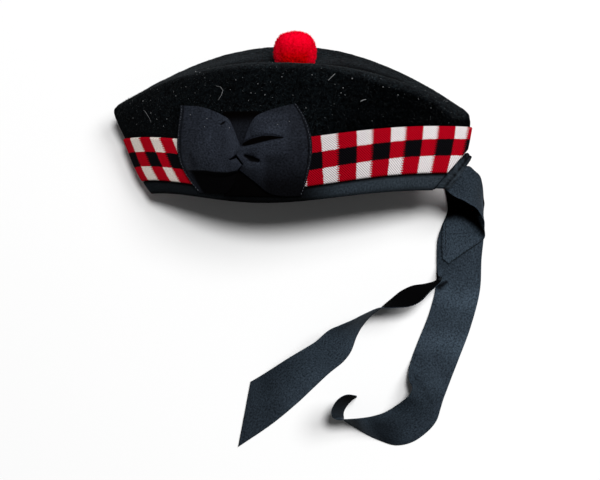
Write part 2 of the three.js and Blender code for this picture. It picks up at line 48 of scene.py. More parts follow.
cam_data = bpy.data.cameras.new("camera")
cam_data.lens = 81.82
cam_data.sensor_width = 36.0
cam_data.clip_end = 20.0
camera = bpy.data.objects.new("camera", cam_data)
bpy.context.scene.collection.objects.link(camera)
back = (math.sin(TILT), 0.0, math.cos(TILT))
camera.matrix_world = Matrix((
    (math.cos(TILT), 0.0, back[0], AIM[0] + DISTANCE * back[0]),
    (0.0, 1.0, back[1], AIM[1] + DISTANCE * back[1]),
    (-math.sin(TILT), 0.0, back[2], AIM[2] + DISTANCE * back[2]),
    (0.0, 0.0, 0.0, 1.0)))
bpy.context.scene.camera = camera

scene = bpy.context.scene
scene.view_settings.view_transform = "Standard"
scene.view_settings.look = "None"

world = bpy.data.worlds.new("room")
world.use_nodes = True
world.node_tree.nodes["Background"].inputs["Color"].default_value = (1.0, 1.0, 1.0, 1.0)
world.node_tree.nodes["Background"].inputs["Strength"].default_value = 0.075
scene.world = world


def area_light(name, place, aim, size, power):
    data = bpy.data.lights.new(name, "AREA")
    data.shape = "DISK"
    data.size = size
    data.energy = power
    light = bpy.data.objects.new(name, data)
    scene.collection.objects.link(light)
    z = np.array(place) - np.array(aim)
    z /= np.linalg.norm(z)
    x = np.cross((0.0, 1.0, 0.01), z)
    x /= np.linalg.norm(x)
    y = np.cross(z, x)
    m = np.eye(4)
    m[:3, 0], m[:3, 1], m[:3, 2], m[:3, 3] = x, y, z, place
    light.matrix_world = Matrix(m.tolist())
    return light


def light_at(azimuth, elevation, distance=9.0, aim=(0.02, -0.10, 0.03)):
    a, e = math.radians(azimuth), math.radians(elevation)
    return tuple(c + distance * d for c, d in zip(aim, (math.cos(e) * math.cos(a), math.cos(e) * math.sin(a), math.sin(e))))


area_light("key", light_at(50, 68), (0.02, -0.10, 0.03), 2.2, 598.0)
area_light("fill", light_at(34, 49), (0.02, -0.10, 0.03), 3.8, 390.0)

# ---------------------------------------------------------------- node helpers


class Nodes:
    """Short way of writing a material's node tree."""

    def __init__(self, name):
        self.material = bpy.data.materials.new(name)
        self.material.use_nodes = True
        self.tree = self.material.node_tree
        self.tree.nodes.clear()
        self.out = self.tree.nodes.new("ShaderNodeOutputMaterial")
        self.bsdf = self.tree.nodes.new("ShaderNodeBsdfPrincipled")
        self.tree.links.new(self.bsdf.outputs[0], self.out.inputs[0])

    def put(self, socket, value):
        if isinstance(value, bpy.types.NodeSocket):
            self.tree.links.new(value, socket)
        else:
            socket.default_value = value

    def set(self, **values):
        for name, value in values.items():
            self.put(self.bsdf.inputs[name.replace("_", " ")], value)
        return self

    def math(self, operation, a, b=None, c=None):
        node = self.tree.nodes.new("ShaderNodeMath")
        node.operation = operation
        for i, v in enumerate((a, b, c)):
            if v is not None:
                self.put(node.inputs[i], v)
        return node.outputs[0]

    def attribute(self, name):
        node = self.tree.nodes.new("ShaderNodeAttribute")
        node.attribute_name = name
        return node

    def split(self, vector):
        node = self.tree.nodes.new("ShaderNodeSeparateXYZ")
        self.put(node.inputs[0], vector)
        return node.outputs

    def join(self, x, y, z):
        node = self.tree.nodes.new("ShaderNodeCombineXYZ")
        for i, v in enumerate((x, y, z)):
            self.put(node.inputs[i], v)
        return node.outputs[0]

    def place(self):
        return self.tree.nodes.new("ShaderNodeTexCoord").outputs["Object"]

    def noise(self, vector, scale, detail=2.0, roughness=0.5):
        node = self.tree.nodes.new("ShaderNodeTexNoise")
        self.put(node.inputs["Vector"], vector)
        node.inputs["Scale"].default_value = scale
        node.inputs["Detail"].default_value = detail
        node.inputs["Roughness"].default_value = roughness
        return node.outputs[0]

    def ramp(self, value, low, high, to_low=0.0, to_high=1.0, smooth=False):
        node = self.tree.nodes.new("ShaderNodeMapRange")
        if smooth:
            node.interpolation_type = "SMOOTHSTEP"
        for i, v in enumerate((value, low, high, to_low, to_high)):
            self.put(node.inputs[i], v)
        return node.outputs[0]

    def mix(self, share, a, b):
        node = self.tree.nodes.new("ShaderNodeMix")
        node.data_type = "RGBA"
        self.put(node.inputs[0], share)
        for socket, v in ((node.inputs[6], a), (node.inputs[7], b)):
            self.put(socket, v if isinstance(v, bpy.types.NodeSocket) else (*v, 1.0))
        return node.outputs[2]

    def scale(self, colour, factor):
        node = self.tree.nodes.new("ShaderNodeVectorMath")
        node.operation = "SCALE"
        self.put(node.inputs[0], colour)
        self.put(node.inputs["Scale"], factor)
        return node.outputs[0]

    def bump(self, height, strength, distance, normal=None):
        node = self.tree.nodes.new("ShaderNodeBump")
        node.inputs["Strength"].default_value = strength
        node.inputs["Distance"].default_value = distance
        self.put(node.inputs["Height"], height)
        if normal is not None:
            self.put(node.inputs["Normal"], normal)
        return node.outputs[0]


def felt_material():
    n = Nodes("felt")
    p = n.place()
    grain = n.noise(p, 900.0, 3.0, 0.7)
    tufts = n.noise(p, 360.0, 4.0, 0.65)
    patch = n.noise(p, 30.0, 3.0, 0.55)
    dark = n.mix(n.ramp(tufts, 0.40, 0.66), (0.0003, 0.0003, 0.0004), (0.0032, 0.0045, 0.0054))
    light = n.math("MULTIPLY", n.ramp(grain, 0.55, 0.70), n.ramp(patch, 0.38, 0.66, 0.12, 1.0))
    # painted light: a per-point share of light from the cloth layer scales the felt's colour and its sheen
    painted_light = n.math("MULTIPLY", n.split(n.attribute("cloth").outputs["Vector"])[2], 3.0)
    colour = n.scale(n.mix(light, dark, (0.020, 0.028, 0.033)), painted_light)
    normal = n.bump(tufts, 0.9, 0.0016, n.bump(grain, 0.5, 0.0006))
    n.set(Base_Color=colour, Roughness=1.0, Normal=normal, Sheen_Weight=n.math("MULTIPLY", painted_light, 0.016), Sheen_Roughness=0.5,
          Sheen_Tint=(0.85, 0.92, 1.0, 1.0))
    n.bsdf.inputs["Specular IOR Level"].default_value = 0.0
    return n.material


def ribbon_material(name, low, high, gloss):
    """Ribbed ribbon; cloth holds the way along, the way across and the share of painted shade, in creases and
    elsewhere, which darkens the colour towards near black and takes away the gloss.
    """
    n = Nodes(name)
    uv = n.split(n.attribute("cloth").outputs["Vector"])
    flat = n.join(uv[0], uv[1], 0.0)
    rib = n.math("SINE", n.math("MULTIPLY", n.math("ADD", uv[0], n.math("MULTIPLY", n.noise(flat, 0.35, 1.0), 0.8)), 2 * math.pi / 0.85))
    slub = n.noise(n.join(n.math("MULTIPLY", uv[0], 1.5), n.math("MULTIPLY", uv[1], 0.22), 0.0), 1.0, 2.0, 0.6)
    speck = n.noise(flat, 0.62, 3.0, 0.7)
    fine = n.noise(flat, 1.7, 2.0, 0.6)
    cloud = n.noise(flat, 0.07, 2.0, 0.5)
    share = n.math("ADD", n.math("MULTIPLY", n.ramp(slub, 0.3, 0.7), 0.14), n.math("MULTIPLY", n.ramp(speck, 0.36, 0.64), 0.60))
    share = n.math("ADD", share, n.math("MULTIPLY", n.ramp(fine, 0.34, 0.66), 0.12))
    share = n.math("ADD", share, n.math("MULTIPLY", n.ramp(cloud, 0.3, 0.7), 0.14))
    colour = n.mix(uv[2], n.mix(share, low, high), (0.0012, 0.0009, 0.0008))
    normal = n.bump(rib, 0.22, 0.0002, n.bump(speck, 0.35, 0.00045))
    n.set(Base_Color=colour, Roughness=0.68, Normal=normal, Specular_IOR_Level=n.math("MULTIPLY", n.math("SUBTRACT", 1.0, uv[2]), gloss))
    return n.material


def dicing_material():
    n = Nodes("dicing")
    dice = n.split(n.attribute("dice").outputs["Vector"])
    cloth = n.split(n.attribute("cloth").outputs["Vector"])
    row = dice[1]
    teeth = n.math("PINGPONG", n.math("MULTIPLY", row, 7.5), 0.5)
    closing = n.math("SUBTRACT", 1.0, n.math("FLOORED_MODULO", n.math("FLOOR", n.math("ADD", dice[0], 0.5)), 2.0))
    bite = n.math("ADD", n.math("MULTIPLY", closing, 0.30), 0.14)
    trim = n.math("SUBTRACT", n.math("MULTIPLY", closing, 0.11), 0.035)
    fuzz = n.noise(n.join(n.math("MULTIPLY", cloth[0], 0.9), n.math("MULTIPLY", cloth[1], 0.9), 0.0), 1.0, 1.0)
    column = n.math("ADD", dice[0], n.math("MULTIPLY", n.math("SUBTRACT", teeth, 0.25), bite))
    column = n.math("ADD", column, trim)
    column = n.math("ADD", column, n.math("MULTIPLY", n.math("SUBTRACT", fuzz, 0.5), 0.10))
    row = n.math("ADD", row, n.math("MULTIPLY", n.math("SUBTRACT", fuzz, 0.5), 0.12))
    odd = n.math("FLOORED_MODULO", n.math("FLOOR", column), 2.0)
    middle = n.math("COMPARE", n.math("FLOOR", row), 1.0, 0.1)
    lay = n.math("ADD", cloth[0], n.math("MULTIPLY", cloth[1], 1.0))
    twill = n.math("SINE", n.math("MULTIPLY", lay, 2 * math.pi / 2.1))
    pick = n.noise(n.join(cloth[0], cloth[1], 0.0), 1.3, 2.0, 0.6)
    shade = n.math("ADD", n.ramp(pick, 0.3, 0.7, 0.66, 1.20), n.math("MULTIPLY", twill, 0.42))
    red, white, black = (0.49, 0.0012, 0.0110), (0.95, 0.885, 0.895), (0.0040, 0.0038, 0.0050)
    even_colour = n.mix(middle, red, black)
    cream = n.mix(n.ramp(cloth[0], 60.0, 130.0), (0.93, 0.83, 0.755), white)
    odd_colour = n.mix(middle, cream, red)
    colour = n.mix(odd, even_colour, odd_colour)
    # cloth z carries the painted light and shade of the tape
    shade = n.math("MULTIPLY", shade, cloth[2])
    normal = n.bump(twill, 0.5, 0.0005, n.bump(pick, 0.4, 0.0005))
    n.set(Base_Color=n.scale(colour, shade), Roughness=0.9, Normal=normal)
    n.bsdf.inputs["Specular IOR Level"].default_value = 0.01
    return n.material


def toorie_material():
    """Red wool pile, set by place: darker deep red at the lower centre, lighter and pinker towards the crown of the cap
    and round the sides.
    """
    n = Nodes("toorie_wool")
    p = n.place()
    tone = n.noise(p, 420.0, 3.0, 0.6)
    out = n.math("ABSOLUTE", n.math("SUBTRACT", n.split(p)[0], 0.0095))
    up = n.math("MAXIMUM", n.ramp(n.split(p)[1], 0.033, 0.056, smooth=True), n.ramp(out, 0.0085, 0.0165, 0.0, 0.9, smooth=True))
    low = n.mix(n.ramp(tone, 0.3, 0.7), (0.30, 0.0, 0.0), (0.56, 0.0, 0.0005))
    high = n.mix(n.ramp(tone, 0.3, 0.7), (0.74, 0.0, 0.010), (0.95, 0.001, 0.032))
    n.set(Base_Color=n.mix(up, low, high), Roughness=1.0, Normal=n.bump(tone, 0.7, 0.0012))
    n.bsdf.inputs["Specular IOR Level"].default_value = 0.0
    return n.material


def plain_material(name, colour, roughness=0.9):
    n = Nodes(name)
    n.set(Base_Color=(*colour, 1.0), Roughness=roughness)
    n.bsdf.inputs["Specular IOR Level"].default_value = 0.2
    return n.material


FELT = felt_material()
DICING = dicing_material()
BINDING = ribbon_material("binding", (0.007, 0.010, 0.013), (0.041, 0.055, 0.070), 0.03)
BOW = ribbon_material("bow_ribbon", (0.0020, 0.0025, 0.0040), (0.0390, 0.0468, 0.0657), 0.03)
TAIL = ribbon_material("tail_ribbon", (0.0040, 0.0060, 0.0085), (0.078, 0.112, 0.151), 0.03)
TOORIE = toorie_material()
FLOOR = plain_material("floor", (0.92, 0.92, 0.92), 1.0)
FUZZ = plain_material("felt_fibre", (0.011, 0.013, 0.014), 1.0)
LINT = plain_material("lint", (0.34, 0.35, 0.36), 1.0)
THREAD = plain_material("thread", (0.085, 0.095, 0.11), 0.9)
FUZZ_PALE = plain_material("pale_fibre", (0.075, 0.080, 0.085), 1.0)
DARK_THREAD = plain_material("dark_thread", (0.0015, 0.0015, 0.002), 0.9)

# ---------------------------------------------------------------- meshes


def mesh_object(name, points_mm, faces, material, **layers):
    """Mesh from points in millimetres and lists of faces; layers are per-point vectors for the shaders."""
    points = np.asarray(points_mm, float).reshape(-1, 3) * MM
    groups = [np.asarray(f, np.int64) for f in faces if len(f)]
    me = bpy.data.meshes.new(name)
    me.vertices.add(len(points))
    me.vertices.foreach_set("co", points.astype(np.float32).ravel())
    corner = np.concatenate([g.ravel() for g in groups])
    total = np.concatenate([np.full(len(g), g.shape[1]) for g in groups])
    me.loops.add(len(corner))
    me.loops.foreach_set("vertex_index", corner.astype(np.int32))
    me.polygons.add(len(total))
    me.polygons.foreach_set("loop_start", (np.cumsum(total) - total).astype(np.int32))
    me.polygons.foreach_set("loop_total", total.astype(np.int32))
    me.polygons.foreach_set("use_smooth", np.ones(len(total), bool))
    for layer, values in layers.items():
        data = me.attributes.new(layer, "FLOAT_VECTOR", "POINT")
        data.data.foreach_set("vector", np.asarray(values, np.float32).reshape(-1, 3).ravel())
    me.update(calc_edges=True)
    me.validate()
    me.materials.append(material)
    ob = bpy.data.objects.new(name, me)
    scene.collection.objects.link(ob)
    return ob


def face_outwards(ob):
    bm = bmesh.new()
    bm.from_mesh(ob.data)
    bmesh.ops.recalc_face_normals(bm, faces=bm.faces)
    bm.to_mesh(ob.data)
    bm.free()


def grid_faces(rows, columns, wrap_columns=False, wrap_rows=False):
    """Quads of a grid of rows x columns points, numbered row by row."""
    r = np.arange(rows if wrap_rows else rows - 1)
    c = np.arange(columns if wrap_columns else columns - 1)
    a, b = np.meshgrid(r, c, indexing="ij")
    a2, b2 = (a + 1) % rows, (b + 1) % columns
    return np.stack([a * columns + b, a * columns + b2, a2 * columns + b2, a2 * columns + b], -1).reshape(-1, 4)


def strands(name, paths, radius, material, taper=1.0):
    """Closed three-sided threads; paths holds threads x points x 3, radius one value per thread."""
    paths = np.asarray(paths, float)
    n, k = paths.shape[:2]
    t = np.gradient(paths, axis=1)
    t /= np.linalg.norm(t, axis=-1, keepdims=True)
    a = np.cross(t, rng.normal(size=(n, 1, 3)))
    a /= np.linalg.norm(a, axis=-1, keepdims=True)
    b = np.cross(t, a)
    r = np.broadcast_to(radius, (n,))[:, None, None] * np.linspace(1, taper, k)[None, :, None]
    turns = 2 * np.pi * np.arange(3) / 3
    points = np.stack([paths + r * (a * np.cos(u) + b * np.sin(u)) for u in turns], 2).reshape(-1, 3)
    base = (np.arange(n) * 3 * k)[:, None]
    sides = [base + (3 * j + i, 3 * j + (i + 1) % 3, 3 * j + 3 + (i + 1) % 3, 3 * j + 3 + i) for j in range(k - 1) for i in range(3)]
    end = 3 * (k - 1)
    caps = [base + (0, 2, 1), base + (end, end + 1, end + 2)]
    return mesh_object(name, points, [np.concatenate(sides), np.concatenate(caps)], material)


def perlin(p, seed=0):
    """Smooth noise, about -1 to 1, of points in any unit."""
    p = np.asarray(p, float)
    cell = np.floor(p).astype(np.int64)
    f = p - cell
    w = f * f * f * (f * (f * 6 - 15) + 10)
    total = np.zeros(p.shape[:-1])
    for i in (0, 1):
        for j in (0, 1):
            for k in (0, 1):
                q = cell + (i, j, k)
                h = (q[..., 0] * 374761393 + q[..., 1] * 668265263 + q[..., 2] * 2147483647 + seed * 1274126177) & 0xFFFFFFFF
                h = ((h ^ (h >> 13)) * 1274126177) & 0xFFFFFFFF
                h = h ^ (h >> 16)
                g = np.stack([(h & 1023) / 511.5 - 1, ((h >> 10) & 1023) / 511.5 - 1, ((h >> 20) & 1023) / 511.5 - 1], -1)
                d = f - (i, j, k)
                share = np.abs(1 - i - w[..., 0]) * np.abs(1 - j - w[..., 1]) * np.abs(1 - k - w[..., 2])
                total += share * (g * d).sum(-1)
    return total * 1.3


# ---------------------------------------------------------------- cap surface (the CAD's formulas)

FELT_WALL, GAP, BAND_STANDOFF = 2.2, 0.3, 1.6
CREASE_RUN = 159.0
RING_COLUMNS = ("frontX", "frontY", "frontZ", "backX", "backY", "backZ", "topZ", "sag", "rise", "lowZ", "lowRise", "tuft")
RING_RUN = np.array([0, 12, 53, 78, 105, 121, 137, CREASE_RUN])
RING = np.array([
    [-120.0, -73.4, 24, 142.0, -72.5, 50, 85, -10.5, 0, 5, 9, 0],
    [-127.5, -63.0, 24, 146.0, -59.5, 51, 91, -12.3, 0, 2, 9, 0],
    [-143.8, -26.4, 26, 154.5, -21.0, 50, 101, -11.0, 0, -5, 9.5, 0],
    [-152.2, -6.2, 30, 154.4, -13.5, 46, 101, -4.0, 4, -5, 24, 0],
    [-149.2, 1.3, 33, 152.6, -8.6, 44, 96, 0, 21, -1.5, 47, 0],
    [-144.5, 3.7, 36, 148.0, -4.3, 42, 86, 0, 30.5, 13, 54, 0],
    [-140.0, 4.0, 38, 144.0, -3.5, 42, 70, 0, 33, 28, 47, 0.5],
    [-136.0, 3.5, 40, 140.0, -3.0, 42, 50, 0, 36, 50, 36, 1]])


def tangents(knots, values):
    step = np.diff(knots)
    slope = np.diff(values, axis=0) / step[:, None]
    inner = (slope[:-1] * step[1:, None] + slope[1:] * step[:-1, None]) / (step[:-1] + step[1:])[:, None]
    return np.vstack([slope[:1], inner, slope[-1:]])


def through(knots, values, at):
    """Smooth curve through a table's rows, straight before the first."""
    knots, values, at = np.asarray(knots, float), np.asarray(values, float), np.asarray(at, float)
    slope = tangents(knots, values)
    k = np.clip(np.searchsorted(knots, at, side="right") - 1, 0, len(knots) - 2)
    h = (knots[k + 1] - knots[k])[..., None]
    u = np.clip((at - knots[k]) / (knots[k + 1] - knots[k]), 0, 1)[..., None]
    v = ((2 * u**3 - 3 * u**2 + 1) * values[k] + (u**3 - 2 * u**2 + u) * h * slope[k]
         + (3 * u**2 - 2 * u**3) * values[k + 1] + (u**3 - u**2) * h * slope[k + 1])
    return v + np.minimum(at - knots[0], 0)[..., None] * slope[0]


def ring_at(run):
    return dict(zip(RING_COLUMNS, np.moveaxis(through(RING_RUN, RING, run), -1, 0)))


def smoothstep(x, lo, hi):
    u = np.clip((np.asarray(x, float) - lo) / (hi - lo), 0, 1)
    return u * u * (3 - 2 * u)


def rest_height(run):
    return BAND_STANDOFF * (1 - smoothstep(run, 53, 60))


def flatten(z, floor, blend=2.5):
    above = z - floor
    return np.where(above >= blend, z, np.where(above <= -blend, floor, floor + (above + blend) ** 2 / (4 * blend)))


def cap_point(phi, run, upper, ring=None, floor_add=0.0):
    phi, run = np.broadcast_arrays(np.asarray(phi, float), np.asarray(run, float))
    r = ring or ring_at(run)
    s = np.maximum(np.sin(phi), 0)
    t = 0.65 * phi / np.pi + 0.35 * (1 - np.cos(phi)) / 2
    arch = 4 * t * (1 - t)
    x = r["frontX"] + (r["backX"] - r["frontX"]) * t
    fold = r["frontZ"] + (r["backZ"] - r["frontZ"]) * t
    y = r["frontY"] + (r["backY"] - r["frontY"]) * t - 12 * r["tuft"] * np.exp(-(((x - 8.5) / 28) ** 2))
    up_y = y + r["sag"] * np.abs(np.sin(np.pi * np.maximum(t, 0) ** 0.8)) ** 2.6 + r["rise"] * arch
    up_z = fold + (r["topZ"] - (r["frontZ"] + r["backZ"]) / 2) * s
    low_y = y + r["lowRise"] * arch
    low_z = flatten(fold + (r["lowZ"] - fold) * s**0.62, rest_height(run) + floor_add)
    upper = np.broadcast_to(upper, phi.shape)
    return np.stack([x, np.where(upper, up_y, low_y), np.where(upper, up_z, low_z)], -1)


def side_normal(phi, run, upper):
    p = np.clip(phi, 0.04, np.pi - 0.04)
    r = np.clip(run, -5, CREASE_RUN - 0.6)
    a = cap_point(p + 0.01, r, upper) - cap_point(p - 0.01, r, upper)
    b = cap_point(p, r + 0.3, upper) - cap_point(p, r - 0.3, upper)
    n = np.cross(a, b)
    n /= np.linalg.norm(n, axis=-1, keepdims=True)
    return np.where(np.broadcast_to(upper, n.shape[:-1])[..., None], n, -n)


def girth(steps):
    """phi and side of each point round the cap: upper side from front to back, then the lower side to the front again."""
    i = np.arange(2 * steps)
    phi = np.where(i <= steps, i, 2 * steps - i) * np.pi / steps
    return phi, i <= steps


def outer(phi, run, upper, distance):
    """Outer surface moved outwards; at the folds along the mean of both sides."""
    run, phi, upper = np.broadcast_arrays(np.asarray(run, float), phi, upper)
    p = cap_point(phi, run, upper)
    own, other = side_normal(phi, run, upper), side_normal(phi, run, ~upper)
    near_fold = np.exp(-((np.sin(phi) / 0.05) ** 2))[..., None] * 0.5
    mean = own * (1 - near_fold) + other * near_fold
    length = np.maximum((mean * own).sum(-1, keepdims=True), 0.55)
    return p + mean / length * np.asarray(distance, float)[..., None]


def cavity(phi, run, upper, wall):
    """Inner surface: the rings drawn in by the wall."""
    run, phi, upper = np.broadcast_arrays(np.asarray(run, float), phi, upper)
    wall = np.broadcast_to(np.asarray(wall, float), run.shape)
    r = ring_at(run)
    crown = smoothstep(run, 78, 121)
    mid = side_normal(np.full(run.shape, np.pi / 2), np.minimum(run, CREASE_RUN), upper)
    mid = np.where((run > CREASE_RUN - 1e-6)[..., None], np.array([0.0, 1.0, 0.0]), mid)
    inset = wall * (1.7 + 2.6 * crown)
    r["frontX"], r["backX"] = r["frontX"] + inset, r["backX"] - inset
    r["frontY"], r["backY"] = r["frontY"] - wall * crown, r["backY"] - wall * crown
    p = cap_point(phi, run, upper, r, wall)
    s = np.maximum(np.sin(phi), 0)
    p[..., 1] -= mid[..., 1] * wall * s - wall * crown * s + wall * crown * (1 - s) * 0.2
    up_z = p[..., 2] - mid[..., 2] * wall * s
    low_z = np.maximum(p[..., 2] - mid[..., 2] * wall * s * (run > 110), rest_height(run) + wall)
    p[..., 2] = np.where(upper, up_z, low_z)
    return p


VENT_POINT, VENT_NORMAL = np.array([128.7, -68.05, 0.0]), np.array([0.760, -0.650, 0.0])


def cut_vent(ob):
    """Takes off the corner at the back where the slit is, and closes the cut."""
    bm = bmesh.new()
    bm.from_mesh(ob.data)
    geom = bm.verts[:] + bm.edges[:] + bm.faces[:]
    bmesh.ops.bisect_plane(bm, geom=geom, dist=1e-7, plane_co=VENT_POINT * MM, plane_no=VENT_NORMAL, clear_outer=True)
    bmesh.ops.dissolve_degenerate(bm, dist=1e-5, edges=bm.edges[:])
    edges = [e for e in bm.edges if e.is_boundary]
    bmesh.ops.holes_fill(bm, edges=edges, sides=0)
    bmesh.ops.recalc_face_normals(bm, faces=bm.faces)
    bm.to_mesh(ob.data)
    bm.free()


def arc_lengths(steps):
    """Length round the head of the tape at each point of a girth, from the front fold over the upper side."""
    phi, upper = girth(steps)
    p = cap_point(phi, np.full(phi.shape, 53.0), upper)
    d = np.linalg.norm(np.roll(p, -1, 0) - p, axis=1)
    return np.concatenate([[0], np.cumsum(d)[:-1]]), d.sum()


# ---------------------------------------------------------------- crown

def felt_relief(p):
    return 0.35 * perlin(p / 9.0, 3) + 0.18 * perlin(p / 3.2, 4) + 0.5 * perlin(p / 38.0, 5)


def crown_skin(phi, run, upper):
    """Felted outer surface and its normal."""
    phi, run, upper = np.broadcast_arrays(np.asarray(phi, float), np.asarray(run, float), upper)
    p = outer(phi, run, upper, np.zeros(phi.shape))
    n = side_normal(phi, run, upper)
    lump = felt_relief(p) * smoothstep(run, 56, 66) * (1 - smoothstep(run, 150, 159))
    lump = lump * smoothstep(p[..., 2], 2.0, 12.0) * smoothstep(np.sin(phi), 0.02, 0.25)
    return p + n * lump[..., None], n


# crest line of the ridge along x; the felt is painted lighter above it
RIDGE_X = [-147, -130, -115, -100, -85, -69, -56, -29, -2, 12, 24, 38, 51, 64, 76, 89, 102, 115, 128, 141]
CREST_Y = [2.2, 7.4, 13.1, 18.1, 20.6, 23.1, 24.7, 26.0, 25.4, 25.4, 25.2, 23.5, 21.0, 17.7, 14.5, 10.2, 7.3, 2.6, -3.7, -14.0]


def felt_painted_light(p):
    """Painted light on the felt: lighter along and above the crest of the ridge, darker below it, and both darker
    towards the back.
    """
    x, y = p[..., 0], p[..., 1]
    crest = smoothstep(y - np.interp(x, RIDGE_X, CREST_Y), -2.6, 3.2)
    low = 0.85 - 0.6 * smoothstep(x, 20, 90)
    top = 2.2 - 0.5 * smoothstep(x, 20, 130)
    return low + (top - low) * crest


def make_crown():
    steps, rows = 190, 116
    phi, upper = girth(steps)
    runs = np.linspace(0, CREASE_RUN, rows)
    g = crown_skin(phi[None], runs[:, None], upper[None])[0]
    inner_runs = np.linspace(0, CREASE_RUN, 34)
    inside = cavity(phi[None], inner_runs[:, None], upper[None], FELT_WALL)
    around = 2 * steps
    top = g[-1, : steps + 1]
    inner_top = (inside[-1, : steps + 1] + inside[-1, -np.arange(steps + 1) % around]) / 2
    points = np.concatenate([g[:-1].reshape(-1, 3), top, inside[:-1].reshape(-1, 3), inner_top])
    last = (rows - 1) * around
    base = last + steps + 1
    faces = [grid_faces(rows - 1, around, wrap_columns=True)]
    j = np.arange(around)
    fold = np.where(j <= steps, j, around - j)
    to_top = last + fold
    lower = (rows - 2) * around + j
    nxt = (j + 1) % around
    quads = np.stack([lower, (rows - 2) * around + nxt, to_top[nxt], to_top[j]], -1)
    faces.append(quads)
    k = len(inner_runs) - 1
    faces.append(grid_faces(k, around, wrap_columns=True) + base)
    end = base + k * around
    faces.append(np.stack([end - around + j, end - around + nxt, end + fold[nxt], end + fold], -1))
    faces.append(np.stack([j, nxt, base + nxt, base + j], -1))
    run_of = np.concatenate([np.repeat(runs[:-1], around), np.full(len(top), CREASE_RUN), np.zeros(len(points) - base)])
    # painted light of the felt, with painted shade deep in the valley by the crease, carried to the shader in the cloth
    # layer
    painted_light = felt_painted_light(points) / 3 * (1 - 0.6 * smoothstep(run_of, 143, 157))
    ob = mesh_object("crown_felt", points, faces, FELT, cloth=np.stack([0 * painted_light, 0 * painted_light, painted_light], -1))
    cut_vent(ob)
    return ob


crown = make_crown()

# ---------------------------------------------------------------- diced tape

DICE_ARC = np.array([-4.0, 10.2, 25.2, 38.9, 52.4, 66.5, 200.2, 214.6, 229.0, 243.2, 257.5, 271.4, 285.7, 301.0, 317.0, 331.1])
DICE_COLUMN = np.array([0.0, 1, 2, 3, 4, 5, 15, 16, 17, 18, 19, 20, 21, 22, 23, 24])


def section_ring(phi, upper, run, offset):
    """Points round the cap at a run, outside it for offset above 0 and on its inner side below."""
    if np.max(offset) < 0:
        return cavity(phi, run, upper, -np.asarray(offset, float))
    return outer(phi, run, upper, np.asarray(offset, float))


def make_band():
    steps = 240
    phi, upper = girth(steps)
    arc, total = arc_lengths(steps)
    column = np.interp(arc, DICE_ARC, DICE_COLUMN)
    past = arc > DICE_ARC[-1]
    column[past] = 24 + (arc[past] - DICE_ARC[-1]) * 22 / (total - DICE_ARC[-1] - 4.0)
    rows = 30
    runs = np.linspace(12.0, 53.0, rows)
    across = np.linspace(0, 1, rows)
    edge = np.minimum(across, 1 - across) * 41.0
    thick = 0.75 + 0.55 * smoothstep(edge, 0.0, 1.2)
    sections = [(12.0, 0.35, 0.0)] + [(r, GAP + t, a) for r, t, a in zip(runs, thick, across)] + [(53.0, 0.35, 1.0), (40.0, 0.32, 0.7), (26.0, 0.32, 0.35)]
    points, dice, cloth = [], [], []
    for run, offset, a in sections:
        p = section_ring(phi, upper, np.full(phi.shape, run), np.full(phi.shape, offset))
        points.append(p)
        lean = np.interp(arc, [10, 40, 70, 110], [0.0, 0.42, 0.42, 0.0]) * (1 - a)
        dice.append(np.stack([column - lean, np.full(phi.shape, 3.0 * (1 - a)), phi * 0], -1))
        # painted light and shade of the tape: lighter towards the front and a little towards the back, darker on the
        # lower side; the foot of the tape at run 12 is painted much darker
        band_painted_light = np.where(upper, 0.66 + 0.34 * smoothstep(p[:, 0], 40, -90) + 0.1 * smoothstep(p[:, 0], 40, 140), 0.8)
        cloth.append(np.stack([arc, np.full(phi.shape, run), band_painted_light * (0.25 if run == 12.0 else 1.0)], -1))
    faces = [grid_faces(len(sections), 2 * steps, wrap_columns=True, wrap_rows=True)]
    ob = mesh_object("diced_tape", np.concatenate(points), faces, DICING, dice=np.concatenate(dice), cloth=np.concatenate(cloth))
    cut_vent(ob)
    return ob


band = make_band()

# ---------------------------------------------------------------- rim binding and slit binding


def make_rim():
    steps = 240
    phi, upper = girth(steps)
    arc, total = arc_lengths(steps)
    path = [(11.2, 0.36), (11.2, 0.9), (10.7, 1.2), (9.0, 1.3), (6.0, 1.28), (3.0, 1.3), (1.0, 1.3), (-0.2, 1.15), (-0.9, 0.7), (-1.25, 0.05),
            (-1.4, -1.1), (-1.25, -2.2), (-0.8, -3.0), (0.2, -3.45), (3.0, -3.5), (7.0, -3.5), (11.0, -3.5),
            (11.0, -2.6), (6.0, -2.55), (0.5, -2.52), (-0.3, -2.0), (-0.42, -1.1), (-0.4, -0.01), (0.0, 0.31), (5.0, 0.33)]
    points, cloth = [], []
    length = 0.0
    for k, (run, offset) in enumerate(path):
        wobble = 0.22 * perlin(np.stack([arc / 9.0, arc * 0 + k * 0.07, arc * 0], -1), 11) if 0 <= k <= 6 else 0.0
        offset_a = np.full(phi.shape, offset)
        if 2 <= k <= 8:
            offset_a = offset_a + 0.12 * perlin(np.stack([arc / 5.0, arc * 0 + run / 6.0, arc * 0], -1), 12)
        points.append(section_ring(phi, upper, np.full(phi.shape, run) + wobble, offset_a))
        length += 0 if k == 0 else math.dist(path[k - 1], path[k])
        # painted shade of the binding on the upper side: darkest under the bow, a little less further to the front,
        # none towards the back, and darker where it rolls over its upper and lower edges
        along = 0.92 * smoothstep(points[-1][:, 0], 55, 15) - 0.2 * smoothstep(points[-1][:, 0], -40, -65)
        roll = max(0.75 * smoothstep(run, 4.5, -1.4), 0.92 * smoothstep(run, 8.6, 11.2))
        painted_shade = (1 - (1 - along) * (1 - roll)) * upper
        cloth.append(np.stack([arc, np.full(phi.shape, length), painted_shade], -1))
    faces = [grid_faces(len(path), 2 * steps, wrap_columns=True, wrap_rows=True)]
    ob = mesh_object("rim_ribbon", np.concatenate(points), faces, BINDING, cloth=np.concatenate(cloth))
    cut_vent(ob)
    return ob


rim = make_rim()


